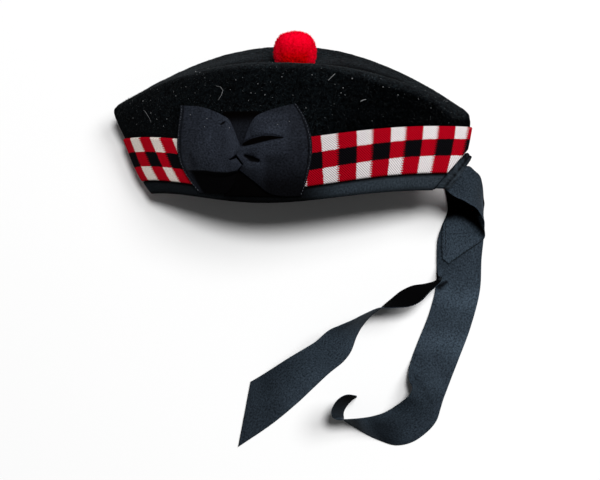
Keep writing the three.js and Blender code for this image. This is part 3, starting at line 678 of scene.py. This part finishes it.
def on_cut(run, upper):
    lo, hi = np.pi / 2, np.pi
    for _ in range(50):
        m = (lo + hi) / 2
        p = cap_point(np.array(m), np.array(run), np.array(upper))
        if (p - VENT_POINT)[:2] @ VENT_NORMAL[:2] < 0:
            lo = m
        else:
            hi = m
    return cap_point(np.array(lo), np.array(run), np.array(upper))


def make_vent():
    fold_runs = np.arange(12.0, 53.0, 0.1)
    fold = cap_point(np.full(fold_runs.shape, np.pi), fold_runs, True)
    apex = int(np.argmax((fold - VENT_POINT)[:, :2] @ VENT_NORMAL[:2] <= 0))
    runs = [share * fold_runs[apex] for share in (0.02, 0.28, 0.5, 0.7, 0.87)]
    path = np.array([on_cut(r, True) for r in runs] + [fold[apex]] + [on_cut(r, False) for r in runs[::-1]])
    out = VENT_NORMAL / np.linalg.norm(VENT_NORMAL)
    u = np.linspace(0, len(path) - 1, 90)
    smooth = through(np.arange(len(path)), path, u)
    along = np.gradient(smooth, axis=0)
    along /= np.linalg.norm(along, axis=1, keepdims=True)
    side = np.cross(along, out)
    side /= np.linalg.norm(side, axis=1, keepdims=True)
    flip = ((smooth - path.mean(0)) * side).sum(1) < 0
    side[flip] *= -1
    m = 22
    a = np.linspace(0, 2 * np.pi, m, endpoint=False)
    ca, sa = np.cos(a), np.sin(a)
    travel = np.concatenate([[0], np.cumsum(np.linalg.norm(np.diff(smooth, axis=0), axis=1))])
    place = np.stack(np.broadcast_arrays(travel[:, None] / 3.4, ca[None] * 1.1, sa[None] * 1.1), -1)
    gather = perlin(place, 41)
    half = np.minimum(travel, travel[-1] - travel)
    fat = np.interp(half, [0, 1.5, 8, 22, travel[-1] / 2], [0.7, 1.0, 1.12, 1.0, 0.95])[:, None]
    reach = np.interp(travel, np.linspace(0, travel[-1], 5), [4.75, 4.5, 3.3, 4.5, 4.75])[:, None]
    along_out = np.clip(reach + 0.3 + (reach + 0.6 * gather) * (np.sign(ca) * np.abs(ca) ** 0.75)[None], 0.32, 9.8)
    along_side = (2.8 + 0.6 * gather) * fat * (np.sign(sa) * np.abs(sa) ** 0.6)[None]
    groove = np.exp(-(((along_out - 1.25 * reach) / 0.8) ** 2))
    along_side = along_side * (1 - 0.22 * groove)
    points = (smooth[:, None] + side[:, None] * (-0.9 + along_side[..., None]) + out[None, None] * along_out[..., None])
    slant = 0.8 * np.clip(1 - half / 12, 0, 1) * np.where(travel < travel[-1] / 2, 1.0, -1.0)
    points = points + along[:, None] * (along_out * slant[:, None])[..., None]
    shade = np.clip(0.3 - 0.5 * gather + 0.5 * groove + 0.35 * smoothstep(half / travel[-1], 0.28, 0.46)[:, None], 0, 0.92)
    cloth = np.stack(np.broadcast_arrays(travel[:, None], a[None] * 3.0, shade), -1)
    n = len(u)
    faces = [grid_faces(n, m, wrap_columns=True), np.arange(m)[None, ::-1], (np.arange(m) + (n - 1) * m)[None]]
    ob = mesh_object("vent_roll", points, faces, BINDING, cloth=cloth)
    face_outwards(ob)
    return ob


vent = make_vent()

# ---------------------------------------------------------------- toorie


def toorie_skin(d):
    shoulders = (np.abs(d) ** 2.5).sum(1) ** (-1 / 2.5)
    lump = shoulders * (1 + 0.025 * perlin(d * 3.0, 21) + 0.03 * perlin(d * 7.0, 22) + 0.02 * perlin(d * 15.0, 23))
    return d * lump[:, None] * (17.0, 16.6, 17.0) + (8.8, 42.4, 57.0)


def make_toorie():
    nu, nv = 96, 64
    a = np.linspace(0, 2 * np.pi, nu, endpoint=False)
    b = np.linspace(0, np.pi, nv + 1)[1:-1]
    d = np.stack([np.sin(b)[:, None] * np.cos(a), np.sin(b)[:, None] * np.sin(a), np.broadcast_to(np.cos(b)[:, None], (nv - 1, nu))], -1).reshape(-1, 3)
    d = np.concatenate([d, [[0, 0, 1.0], [0, 0, -1.0]]])
    p = toorie_skin(d)
    j = np.arange(nu)
    n = (j + 1) % nu
    top, bottom = len(d) - 2, len(d) - 1
    faces = [grid_faces(nv - 1, nu, wrap_columns=True), np.stack([j, n, np.full(nu, top)], -1),
             np.stack([(nv - 2) * nu + n, (nv - 2) * nu + j, np.full(nu, bottom)], -1)]
    ob = mesh_object("toorie_ball", p, faces, TOORIE)
    face_outwards(ob)
    return ob


toorie = make_toorie()

# ---------------------------------------------------------------- bow


def upper_foot(x, y):
    """phi and run of the upper side under plan points."""
    x, y = np.asarray(x, float), np.asarray(y, float)
    phi, run = np.full(x.shape, 1.4), np.full(x.shape, 50.0)
    for _ in range(40):
        p = cap_point(phi, run, True)
        a = (cap_point(phi + 1e-4, run, True) - p) * 1e4
        b = (cap_point(phi, run + 1e-2, True) - p) * 1e2
        det = a[..., 0] * b[..., 1] - b[..., 0] * a[..., 1]
        dx, dy = x - p[..., 0], y - p[..., 1]
        phi = np.clip(phi + (dx * b[..., 1] - dy * b[..., 0]) / det, 0.02, np.pi - 0.02)
        run = np.clip(run + (a[..., 0] * dy - a[..., 1] * dx) / det, -4, 118)
    return phi, run


def raised(x, y, height):
    phi, run = upper_foot(x, y)
    n = side_normal(phi, run, True)
    phi, run = upper_foot(x - n[..., 0] * height, y - n[..., 1] * height)
    n = side_normal(phi, run, True)
    return cap_point(phi, run, True) + n * np.asarray(height)[..., None], n


WING_P = np.array([0.0, 0.1, 0.25, 0.45, 0.7, 1.0])
WING_FRONT = np.array([   # topX, topY, lowX, lowY, puff, base
    [-31.0, -40.5, -34.6, -58.7, 5.5, 3.9],
    [-35.2, -28.4, -38.5, -68.2, 6.5, 3.8],
    [-39.6, -18.6, -44.0, -75.0, 7.0, 3.7],
    [-46.2, -13.5, -51.0, -76.2, 7.0, 3.6],
    [-61.9, -6.8, -60.3, -76.0, 5.0, 2.9],
    [-83.5, -3.7, -70.5, -74.6, 0.0, 2.2]])
WING_BACK = np.array([
    [-29.0, -38.9, -32.2, -57.9, 6.5, 3.9],
    [-25.1, -27.0, -25.9, -62.8, 6.0, 3.9],
    [-19.2, -16.8, -17.8, -69.4, 5.0, 3.9],
    [-10.1, -11.7, -9.9, -76.0, 4.0, 3.7],
    [1.3, -8.3, 1.5, -79.0, 2.5, 3.4],
    [14.2, -5.2, 18.1, -79.0, 0.0, 2.2]])
BOW_THICK = 0.8
FOLD_X, FOLD_Y = [-84.0, -70.2, -62.1, -51.9, -41.6, -32.2], [-55.5, -56.9, -57.5, -59.2, -59.7, -57.9]
# Creases as lines of x, y and half width, sunk into the wings and painted with shade; HEM_PATCH is only a patch of
# painted shade by the hem, and LOBE marks where the painted shade of the lower wing is lifted.
SLIT = [(-30.9, -38.3, 0.6), (-26.8, -37.3, 1.9), (-20.7, -35.3, 2.7), (-12.6, -33.4, 2.7), (-5.5, -32.6, 1.9), (-0.4, -32.6, 1.2), (4.2, -32.8, 0.4)]
DIMPLE = [(-26.8, -46.8, 1.0), (-21.7, -49.2, 2.9), (-16.3, -50.9, 1.4)]
WEDGE = [(-39.9, -50.0, 0.4), (-36.2, -48.3, 1.1), (-33.4, -45.9, 0.9)]
PINCH = [(-47.3, -21.2, 0.5), (-45.4, -20.0, 1.2), (-43.6, -18.9, 0.4)]
HEM_PATCH = [(-74.9, -44.9, 3.0), (-71.3, -53.1, 4.0)]
LIT = [(-60.7, -37.5, 15.0, 15.0), (-3.2, -26.7, 8.0, 5.0)]   # where the wings catch the light: x, y and reach along x and y
LOBE = [(-25.5, -55.8, 1.5), (-17.0, -53.6, 2.6), (-8.0, -54.5, 2.0)]


def stroke(x, y, line):
    """1 on a crease line, falling off over its half width."""
    best = np.zeros(np.shape(x))
    for (x0, y0, w0), (x1, y1, w1) in zip(line[:-1], line[1:]):
        dx, dy = x1 - x0, y1 - y0
        t = np.clip(((x - x0) * dx + (y - y0) * dy) / (dx * dx + dy * dy), 0, 1)
        d2 = (x - x0 - dx * t) ** 2 + (y - y0 - dy * t) ** 2
        best = np.maximum(best, np.exp(-d2 / (w0 + (w1 - w0) * t) ** 2))
    return best


def zigzag(p, q):
    """Sideways step of the seam between the wings at the knot."""
    return np.interp(q, [0, 0.36, 0.77, 1], [0, -3.5, 3.5, 0]) * np.exp(-p / 0.12)


def sheet_mesh(name, position, normal, thickness, cloth, material, under=None):
    """Closed sheet from a grid of points, thickened along the normals."""
    r, c = position.shape[:2]
    lower, upper = position.reshape(-1, 3), (position + normal * thickness).reshape(-1, 3)
    n = r * c
    f = grid_faces(r, c)
    ids = np.arange(n).reshape(r, c)
    rim = np.concatenate([ids[:-1, 0], ids[-1, :-1], ids[:0:-1, -1], ids[0, :0:-1]])
    nxt = np.roll(rim, -1)
    faces = [f[:, ::-1], f + n, np.stack([rim, nxt, nxt + n, rim + n], -1)]
    ob = mesh_object(name, np.concatenate([lower, upper]), faces, material, cloth=np.concatenate([(cloth if under is None else under).reshape(-1, 3), cloth.reshape(-1, 3)]))
    face_outwards(ob)
    return ob


def wing_plan(table, p, q, bulge, skew):
    v = through(WING_P, table, p)
    x = v[..., 0] + (v[..., 2] - v[..., 0]) * q + bulge * np.sin(np.pi * q**skew) * p * p
    y = v[..., 1] + (v[..., 3] - v[..., 1]) * q
    return x, y, v


def hem(p):
    return 0.35 * smoothstep(p, 0.960, 0.968), np.maximum(0.8 * np.exp(-(((p - 0.960) / 0.010) ** 2)), 0.45 * smoothstep(p, 0.960, 0.972))


def rib_folds(x, y, seed):
    """Shallow uneven swell of the ribbon, and its share of shade."""
    f = perlin(np.stack([x / 13.0, y / 22.0, np.zeros(np.shape(x))], -1), seed) + 0.5 * perlin(np.stack([x / 5.0, y / 14.0, np.ones(np.shape(x))], -1), seed)
    return 0.5 * f, np.clip(-0.30 * f, 0, 0.4)


def bow_tone(x, y):
    """Share of light that the cloth of the wings keeps at a place."""
    lit = sum(np.exp(-(((x - at_x) / reach_x) ** 2 + ((y - at_y) / reach_y) ** 2)) for at_x, at_y, reach_x, reach_y in LIT)
    return 0.77 + 0.23 * np.clip(lit, 0, 1)


def wing_front_at(p, q):
    x, y, v = wing_plan(WING_FRONT, p, q, -11.5, 1.3)
    x = x + zigzag(p, q) + 0.5 * np.exp(-p / 0.1)
    fold_y = np.interp(x, FOLD_X, FOLD_Y)
    fold = np.clip((v[..., 1] - fold_y) / (v[..., 1] - v[..., 3]), 0.2, 0.97)
    swell = np.where(q < fold, np.sin(np.pi / 2 * np.minimum(q / fold, 1)) ** 0.8, np.clip(1 - (q - fold) / 0.06, 0, 1))
    turned, hem_shade = hem(p)
    rise, painted_shade = rib_folds(x, y, 31)
    wedge, pinch = stroke(x, y, WEDGE), stroke(x, y, PINCH)
    h = v[..., 5] + v[..., 4] * swell + turned + rise * smoothstep(q, 0, 0.1) * (q < fold) - 2.2 * wedge - 1.3 * pinch
    pos, n = raised(x, y, np.maximum(h, v[..., 5]))
    # painted shade below the fold line, weaker towards the outer hem
    under = smoothstep(fold_y - y, -0.4, 1.0) * (0.95 - 0.5 * smoothstep(p, 0.84, 0.94))
    shade = np.maximum.reduce([under, smoothstep(wedge, 0.2, 0.7), 0.95 * smoothstep(pinch, 0.2, 0.8), hem_shade,
                               0.45 * stroke(x, y, HEM_PATCH), painted_shade])
    shade = 1 - (1 - shade) * bow_tone(x, y)
    return pos, n, np.stack([p * 58, q * 74, shade], -1)


def wing_back_at(p, q):
    x, y, v = wing_plan(WING_BACK, p, q, 11.8, 0.85)
    x = x + zigzag(p, q) - 0.5 * np.exp(-p / 0.1)
    along = (x + 31.0) / 35.4
    below = np.interp(x, [c[0] for c in SLIT], [c[1] for c in SLIT]) - y
    swell = np.where(below < 0, 0.55 * (1 - np.exp(-q * 5)), np.exp(-(((below - 6) / 15) ** 2)) * np.minimum(1, 6 * (1 - q)))
    turned, hem_shade = hem(p)
    rise, painted_shade = rib_folds(x, y, 37)
    slit, dimple = stroke(x, y, SLIT), stroke(x, y, DIMPLE)
    lip = 1.2 * np.exp(-(((below - 4.0) / 2.2) ** 2)) * np.clip(1.0 - along, 0, 1)
    h = v[..., 5] + v[..., 4] * swell + turned + rise * smoothstep(q, 0, 0.1) * smoothstep(1 - q, 0, 0.1) + lip - 6.5 * slit - 3.6 * dimple
    pos, n = raised(x, y, np.maximum(h, v[..., 5]))
    # painted shade: darker towards the lower edge except on the lobe, and on the right wing darker in its lower middle,
    # towards its right side and along its top
    low = 0.80 * smoothstep(-y, 45.0, 74.0) * (1 - 0.75 * stroke(x, y, LOBE))
    shade = np.maximum.reduce([smoothstep(slit, 0.22, 0.55), 0.95 * smoothstep(dimple, 0.15, 0.8), hem_shade, low, painted_shade])
    right_wing_painted_shade = np.maximum.reduce([0.45 * smoothstep(-y, 43.5, 48.5) * smoothstep(x, -14, -8), 0.35 * smoothstep(x, 4, 12), 0.35 * smoothstep(y, -15.5, -11)])
    shade = 1 - (1 - shade) * bow_tone(x, y) * (1 - right_wing_painted_shade)
    return pos, n, np.stack([p * 58 + 100, q * 74, shade], -1)


def make_wing(name, surface):
    p, q = np.meshgrid(np.linspace(0, 1, 120), np.linspace(0, 1, 140), indexing="ij")
    pos, n, cloth = surface(p, q)
    return sheet_mesh(name, pos, n, BOW_THICK, cloth, BOW)


def hem_stitches(name, surface):
    """Short stitches along the outer edge of a wing."""
    q = np.arange(0.012, 0.985, 0.030)
    q = q + rng.uniform(-0.004, 0.004, q.shape)
    p = 0.984 + rng.uniform(-0.004, 0.004, q.shape)
    ends = np.stack([q - rng.uniform(0.005, 0.010, q.shape), q + rng.uniform(0.005, 0.010, q.shape)], 1)
    pos, n, _ = surface(np.broadcast_to(p[:, None], ends.shape), ends)
    return strands(name, pos + n * (BOW_THICK + 0.1), rng.uniform(0.12, 0.24, len(q)), THREAD)


BOW_SPECKS = [(-61.4, -22.7), (-39.7, -24.3), (-58.6, -15.5), (-74.1, -12.0), (0.1, -22.5), (9.8, -19.3)]


def bow_lint():
    """Specks of lint on the wings at plan points."""
    p, q = (v.ravel() for v in np.meshgrid(np.linspace(0, 1, 60), np.linspace(0, 1, 70), indexing="ij"))
    skins = [surface(p, q)[:2] for surface in (wing_front_at, wing_back_at)]
    pos, n = (np.concatenate([skin[k] for skin in skins]) for k in (0, 1))
    at = [np.argmin(((pos[:, :2] - spot) ** 2).sum(1)) for spot in BOW_SPECKS]
    slip = np.cross(n[at], (0.3, 0.8, 0.5)) * 0.3
    return strands("bow_lint", np.stack([pos[at] + n[at] * (BOW_THICK + 0.2) - slip, pos[at] + n[at] * (BOW_THICK + 0.2) + slip], 1), np.full(len(at), 0.2), LINT)


def make_backing():
    p, q = np.meshgrid(np.linspace(0, 1, 50), np.linspace(0, 1, 70), indexing="ij")
    a, b, c, d = (np.array(v) for v in ((-45.5, -10.5), (-16, -11), (2, -79.5), (-48, -78)))
    xy = ((a + (b - a) * p[..., None]) * (1 - q[..., None]) + (d + (c - d) * p[..., None]) * q[..., None])
    pos, n = raised(xy[..., 0], xy[..., 1], np.full(p.shape, BAND_STANDOFF + GAP))
    shade = np.maximum(1 - 0.34 * (1 - smoothstep(xy[..., 1], -25.0, -13.5)), 0.98 * smoothstep(-xy[..., 1], 52.0, 58.0))
    cloth = np.stack([q * 70, p * 45, shade], -1)
    return sheet_mesh("bow_back", pos, n, 0.8, cloth, BOW)


wing_front, wing_back, backing = make_wing("wing_front", wing_front_at), make_wing("wing_back", wing_back_at), make_backing()
bow_specks = bow_lint()
stitches_front, stitches_back = hem_stitches("hem_stitches_front", wing_front_at), hem_stitches("hem_stitches_back", wing_back_at)

# ---------------------------------------------------------------- ribbon tails

RIBBON = 0.7
TAIL_LONG = np.array([   # ax, ay, az, bx, by, bz: the two selvedges, a the raised one
    [132.8, -66.3, 0.5, 160.6, -68.1, 0.5], [135.3, -79.3, 0.5, 164.2, -82.0, 0.5], [136.0, -90.2, 0.5, 165.4, -92.4, 0.5],
    [130.8, -103.3, 0.5, 167.3, -105.0, 0.5],
    [127.1, -130.7, 0.5, 165.4, -132.3, 0.5],
    [126.1, -154.2, 0.5, 164.1, -158.4, 0.5], [120.0, -179.1, 0.5, 156.3, -189.7, 0.5], [109.4, -206.1, 0.5, 145.1, -220.2, 0.5],
    [104.8, -218.7, 1.0, 139.9, -233.7, 0.5], [102.5, -229.1, 7.0, 136.9, -241.5, 0.5], [103.3, -236.1, 15.0, 134.7, -247.2, 0.5],
    [106.2, -241.7, 22.0, 132.2, -253.8, 0.5], [103.6, -247.8, 21.5, 130.0, -261.2, 0.5], [96.6, -254.5, 15.0, 126.5, -272.1, 0.5],
    [87.8, -261.1, 10.5, 118.7, -281.8, 0.5], [80.6, -264.6, 13.5, 105.3, -291.2, 0.5], [74.9, -265.7, 20.5, 91.3, -294.0, 0.5],
    [68.8, -266.4, 28.4, 78.3, -290.5, 0.5], [61.9, -266.9, 33.5, 66.0, -285.2, 0.5], [54.9, -267.2, 36.8, 54.6, -278.4, 0.5],
    [49.0, -267.4, 38.0, 45.8, -272.8, 0.5], [43.0, -267.5, 38.3, 45.5, -270.2, 0.5], [38.8, -265.4, 37.9, 45.2, -268.0, 0.5],
    [38.0, -260.8, 37.5, 45.8, -264.9, 0.5], [40.0, -255.3, 37.3, 48.0, -260.8, 0.5], [45.1, -249.3, 37.3, 51.1, -257.0, 0.5],
    [51.5, -246.5, 37.6, 54.2, -254.1, 0.5], [59.2, -247.3, 38.1, 57.2, -252.3, 0.5]])
TAIL_TWISTED = np.array([
    [135.6, -104.5, 1.9, 131.0, -103.6, 1.9], [136.0, -111.0, 1.9, 128.5, -110.5, 1.9], [137.3, -128.0, 1.9, 126.9, -128.0, 1.9], [136.0, -136.3, 2.4, 127.0, -137.6, 1.9],
    [133.0, -142.4, 1.9, 128.3, -145.7, 9.0], [129.9, -147.0, 1.9, 132.0, -147.9, 18.0], [125.7, -150.5, 1.9, 128.8, -152.1, 25.5],
    [116.6, -153.2, 0.9, 121.2, -158.7, 31.5], [105.0, -155.2, 0.5, 112.8, -167.2, 34.9], [95.7, -159.7, 0.5, 103.6, -171.2, 35.6],
    [88.8, -165.2, 0.5, 93.4, -172.0, 37.1], [82.6, -170.4, 0.5, 85.9, -172.3, 38.1], [77.8, -174.7, 0.5, 79.1, -172.5, 38.4],
    [69.5, -181.5, 0.5, 67.2, -177.3, 38.0], [61.6, -190.7, 0.5, 55.3, -183.3, 36.8], [56.8, -199.5, 0.5, 44.8, -187.9, 33.6],
    [52.0, -212.3, 0.5, 34.2, -193.0, 28.5], [45.4, -221.3, 0.5, 23.4, -202.4, 24.2], [33.5, -231.1, 0.5, 11.8, -209.7, 20.8],
    [19.4, -244.4, 0.5, -1.9, -218.0, 15.5], [4.4, -258.7, 0.5, -17.9, -228.4, 7.2], [-17.8, -277.2, 0.5, -29.2, -235.6, 1.2],
    [-48.0, -298.0, 0.5, -36.9, -240.1, 0.5]])
TAIL_LOOP = np.array([
    [133.5, -72.1, 50.0, 146.6, -54.8, 48.4], [138.0, -76.0, 50.0, 153.4, -53.2, 46.4], [142.8, -79.2, 49.5, 158.4, -56.8, 41.0],
    [148.3, -81.5, 47.5, 162.7, -60.3, 32.0], [154.6, -84.9, 43.0, 165.3, -67.3, 21.0], [161.1, -89.0, 35.0, 166.6, -78.0, 10.0],
    [165.9, -96.4, 28.0, 167.0, -85.5, 4.0],
    [167.3, -105.2, 16.0, 151.1, -80.3, 3.5], [167.1, -114.4, 4.6, 140.3, -83.8, 3.5], [159.3, -120.2, 4.1, 135.6, -92.4, 3.5],
    [150.2, -126.4, 4.1, 132.0, -103.7, 3.5], [142.9, -131.5, 4.1, 131.0, -117.6, 3.6], [136.9, -135.6, 4.1, 131.9, -131.2, 3.7]])


def ribbon_between(name, a, b, material, across=40, start=0.0, shade=None):
    """Closed ribbon between two edge lines; shade gives the share of shade in the folds of the face that looks up."""
    w = np.linspace(0, 1, across)
    pos = a[:, None] * (1 - w[None, :, None]) + b[:, None] * w[None, :, None]
    du = np.gradient(pos, axis=0)
    dv = np.gradient(pos, axis=1)
    n = np.cross(du, dv)
    n /= np.linalg.norm(n, axis=-1, keepdims=True)
    mid = (a + b) / 2
    travel = np.concatenate([[0], np.cumsum(np.linalg.norm(np.diff(mid, axis=0), axis=1))]) + start
    width = np.linalg.norm(a - b, axis=1)
    row, side = np.meshgrid(travel - start, w, indexing="ij")
    painted_shade = shade(pos, row, side) if shade else 0.0
    plain = np.minimum(painted_shade, 0.35)
    over, under = (np.stack(np.broadcast_arrays(travel[:, None], (w[None] - 0.5) * width[:, None], np.where(n[..., 2] * face > 0, painted_shade, plain)), -1) for face in (1, -1))
    return sheet_mesh(name, pos - n * RIBBON / 2, n, RIBBON, over, material, under)


def ribbon_edges(rows, step):
    """Both selvedges, about a step apart along the ribbon."""
    d = np.diff(rows, axis=0)
    knots = np.concatenate([[0], np.cumsum((np.linalg.norm(d[:, :3], axis=1) + np.linalg.norm(d[:, 3:], axis=1)) / 2)])
    r = np.linspace(0, knots[-1], int(knots[-1] / step) + 1)
    v = through(knots, rows, r)
    k = np.clip(np.searchsorted(knots, r, side="right") - 1, 0, len(knots) - 2)
    for c in (2, 5):
        v[:, c] = np.clip(v[:, c], np.minimum(rows[k, c], rows[k + 1, c]), np.maximum(rows[k, c], rows[k + 1, c]))
    return v[:, :3], v[:, 3:]


HOLLOW_X, HOLLOW_Y = [126.1, 136.0, 143.4, 149.0, 159.7, 167.4], [-101.1, -97.4, -94.7, -96.4, -102.9, -110.2]


def hollow_shade(pos):
    """Shade under the flap of the loop."""
    return smoothstep(pos[..., 1] - np.interp(pos[..., 0], HOLLOW_X, HOLLOW_Y), -3.0, 3.5) * (1 - smoothstep(pos[..., 2], 11.0, 17.0))


EVEN = 0.71   # share of light that plain lying ribbon keeps
SWELLS = [(-166.0, 13.0), (-203.0, 11.0)]   # where the long tail lies bowed up and is painted lighter: y and reach


def long_shade(pos, row, side):
    # painted light and shade of the long tail: lighter bands where it lies bowed up, a painted shadow spot where the
    # twisted tail stands over it, painted shade in a crease, towards the lower bend, inside the curl and under the
    # loop's flap
    x, y = pos[..., 0], pos[..., 1]
    spot = stroke(x, y, [(124.5, -152.0, 2.0), (129.0, -155.5, 4.5), (135.0, -151.5, 2.5)])
    crease = stroke(x, y, [(107.5, -233.0, 2.2), (116.0, -244.0, 3.0), (122.0, -256.0, 1.5)])
    across = 2 * side - 1
    swell = sum(np.exp(-(((y + 3.7 * across - at) / reach) ** 2)) for at, reach in SWELLS)
    light = (0.52 + 0.34 * np.clip(swell, 0, 1)) * (1 + 0.12 * across)
    light = light * (1 - 0.2 * smoothstep(y, -235, -255)) * (1 - 0.5 * smoothstep(x, 108, 84) * smoothstep(y, -262, -276))
    light = light + (0.6 - light) * smoothstep(row, row.max() - 66, row.max() - 52)
    curl = 0.74 * smoothstep(row, row.max() - 58, row.max() - 44) + 0.24 * smoothstep(row, row.max() - 30, row.max())
    dark = np.maximum.reduce([hollow_shade(pos), 0.95 * spot, curl])
    return 1 - np.minimum(light * (1 - 0.3 * crease), 1 - dark)


def twisted_shade(pos, row, side):
    # painted shade of the twisted tail: the stretch whose upper face turns away from the light is painted near black,
    # the start by the cap and the part towards the cut end are darker, and there is a dark line along the cut end
    x = np.broadcast_to(pos[..., :1].mean(1, keepdims=True)[..., 0], side.shape)
    back = smoothstep(x, 78.6, 81.5) * smoothstep(x, 131.0, 128.6)
    start = 0.4 * smoothstep(pos[..., 1], -147, -139)
    end = 0.12 + 0.4 * smoothstep(pos[..., 0], 22, -26)
    hem = 0.85 * np.exp(-((row.max() - row) / 1.3) ** 2)
    return 1 - EVEN * (1 - np.maximum.reduce([0.975 * back, start, np.where(x < 78, end, 0), hem]))


def loop_shade(pos, row, side):
    seam = 0.55 * smoothstep(pos[..., 2], 5.2, 4.6) * np.exp(-((side / 0.035) ** 2)) * (pos[..., 1] < -113)
    flap = 0.38 * smoothstep(pos[..., 2], 14, 22) * (1 - 0.7 * np.exp(-((side / 0.03) ** 2)))
    return 1 - EVEN * (1 - np.maximum.reduce([hollow_shade(pos), seam, flap, np.full(side.shape, 0.06)]))


tail_long = ribbon_between("ribbon_long", *ribbon_edges(TAIL_LONG, 1.0), TAIL, shade=long_shade)
tail_twisted = ribbon_between("ribbon_twisted", *ribbon_edges(TAIL_TWISTED, 1.0), TAIL, start=400.0, shade=twisted_shade)
tail_loop = ribbon_between("ribbon_loop", *ribbon_edges(TAIL_LOOP, 0.8), TAIL, start=800.0, shade=loop_shade)


def running_stitch(ends, z, length=1.7, step=2.6):
    """Stitches in a row between two plan points."""
    a, b = (np.array([*e, z]) for e in ends)
    span = np.linalg.norm(b - a)
    d = (b - a) / span
    at = np.arange(0.3, span - length, step)
    jog = rng.uniform(-0.12, 0.12, (len(at), 1)) * np.array([-d[1], d[0], 0])
    return np.stack([a + at[:, None] * d + jog, a + (at + length)[:, None] * d + jog], 1)


SEWN = (((131.9, -102.9), (132.2, -129.2), 4.02), ((134.4, -101.1), (134.4, -129.8), 4.08), ((166.2, -115.0), (137.4, -134.7), 4.5))
loop_stitches = strands("loop_stitches", np.concatenate([running_stitch(line[:2], line[2]) for line in SEWN]), 0.3, DARK_THREAD)

# ---------------------------------------------------------------- fibres

def unit(v):
    return v / np.linalg.norm(v, axis=-1, keepdims=True)


def felt_fibres(name, count, length, radius, material):
    """Loose wool fibres lying on the felt."""
    phi = rng.uniform(0.06, np.pi - 0.06, count)
    run = rng.uniform(56.5, 152, count)
    p, n = crown_skin(phi, run, rng.random(count) < 0.8)
    # more fibres where the felt is painted lighter
    keep = rng.random(count) < 0.25 + 0.75 * felt_painted_light(p)
    p, n, count = p[keep], n[keep], int(keep.sum())
    lie = unit(np.cross(n, rng.normal(size=(count, 3))))
    bend = np.cross(n, lie) * rng.uniform(-0.35, 0.35, (count, 1))
    reach = rng.uniform(*length, (count, 1))
    paths = np.stack([p - n * 0.05, p + n * 0.22 + lie * reach * 0.5 + bend * reach * 0.5, p + n * rng.uniform(0.1, 0.7, (count, 1)) + lie * reach], 1)
    return strands(name, paths, rng.uniform(*radius, count), material, taper=0.4)


fuzz = felt_fibres("felt_fuzz", 9000, (0.7, 2.4), (0.05, 0.11), FUZZ)
fuzz_pale = felt_fibres("felt_fuzz_pale", 800, (0.5, 2.0), (0.04, 0.09), FUZZ_PALE)

HAIRS = [   # phi, run along each hair
    [(1.099, 98.7), (1.136, 97.2), (1.156, 94.0), (1.146, 89.9), (1.123, 85.7)],
    [(1.955, 111.4), (1.942, 109.8), (1.929, 108.0), (1.916, 106.0), (1.903, 104.0)],
    [(2.140, 86.4), (2.150, 87.3), (2.162, 88.2), (2.171, 88.5), (2.180, 88.9)],
    [(0.430, 80.0), (0.455, 77.0), (0.470, 73.5), (0.480, 70.0), (0.478, 66.5)]]
SPECKS = np.array([   # phi, run
    (1.352, 85.3), (1.366, 91.1), (1.468, 89.4), (0.874, 124.0), (0.604, 63.5), (0.556, 69.8), (0.661, 69.9), (1.754, 78.9), (2.011, 98.1),
    (1.998, 93.2), (2.027, 91.6), (2.211, 62.9), (1.244, 103.0), (1.411, 98.4), (1.577, 104.7), (1.789, 108.0), (2.079, 108.9), (2.314, 106.5),
    (2.429, 99.9), (2.601, 100.6), (2.716, 89.2), (0.415, 93.6), (0.509, 75.9), (0.270, 71.6), (0.763, 92.9), (0.990, 109.1), (0.839, 101.9)])


def make_lint():
    hair = np.array(HAIRS)
    p, n = crown_skin(hair[..., 0], hair[..., 1], True)
    hairs = strands("lint_hairs", p + n * 0.35, np.array([0.16, 0.17, 0.34, 0.07]), LINT, taper=0.7)
    extra = np.stack([rng.uniform(0.2, np.pi - 0.2, 80), rng.uniform(58, 128, 80)], 1)
    at = np.concatenate([SPECKS, extra])
    p, n = crown_skin(at[:, 0], at[:, 1], True)
    size = np.concatenate([rng.uniform(0.18, 0.32, len(SPECKS)), rng.uniform(0.08, 0.17, len(extra))])
    lie = unit(np.cross(n, rng.normal(size=p.shape))) * size[:, None] * 1.3
    return hairs, strands("lint_specks", np.stack([p + n * 0.3 - lie, p + n * 0.3 + lie], 1), size, LINT)


lint_hairs, lint_specks = make_lint()


def toorie_pile():
    count = 9000
    d = unit(rng.normal(size=(count, 3)))
    p = toorie_skin(d)
    lean = unit(d + 0.55 * rng.normal(size=(count, 3)))
    paths = np.stack([p - d * 0.4, p + lean * rng.uniform(0.5, 1.5, (count, 1))], 1)
    return strands("toorie_pile", paths, rng.uniform(0.07, 0.15, count), TOORIE, taper=0.6)


pile = toorie_pile()

# ---------------------------------------------------------------- floor

floor = mesh_object("floor", [[-3000, -3000, -0.3], [3000, -3000, -0.3], [3000, 3000, -0.3], [-3000, 3000, -0.3]], [[[0, 1, 2, 3]]], FLOOR)

# ---------------------------------------------------------------- frame

for ob, node, slot in ((crown, "crown", "felt"), (band, "diced_band", "dicing"), (rim, "rim_binding", "binding"), (vent, "vent_binding", "binding"),
                       (toorie, "toorie", "toorie_wool"), (backing, "bow_backing", "bow_ribbon"), (wing_front, "bow_wing_front", "bow_ribbon"),
                       (wing_back, "bow_wing_back", "bow_ribbon"), (tail_loop, "tail_loop", "tail_ribbon"), (tail_long, "tail_long", "tail_ribbon"),
                       (tail_twisted, "tail_twisted", "tail_ribbon")):
    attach(ob, "root")
    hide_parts(node)

for ob, slot in ((stitches_front, "bow_ribbon"), (stitches_back, "bow_ribbon"), (bow_specks, "bow_ribbon"), (loop_stitches, "tail_ribbon"), (fuzz, "felt"), (fuzz_pale, "felt"),
                 (lint_hairs, "felt"), (lint_specks, "felt"), (pile, "toorie_wool")):
    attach(ob, "root")

bpy.context.view_layer.update()
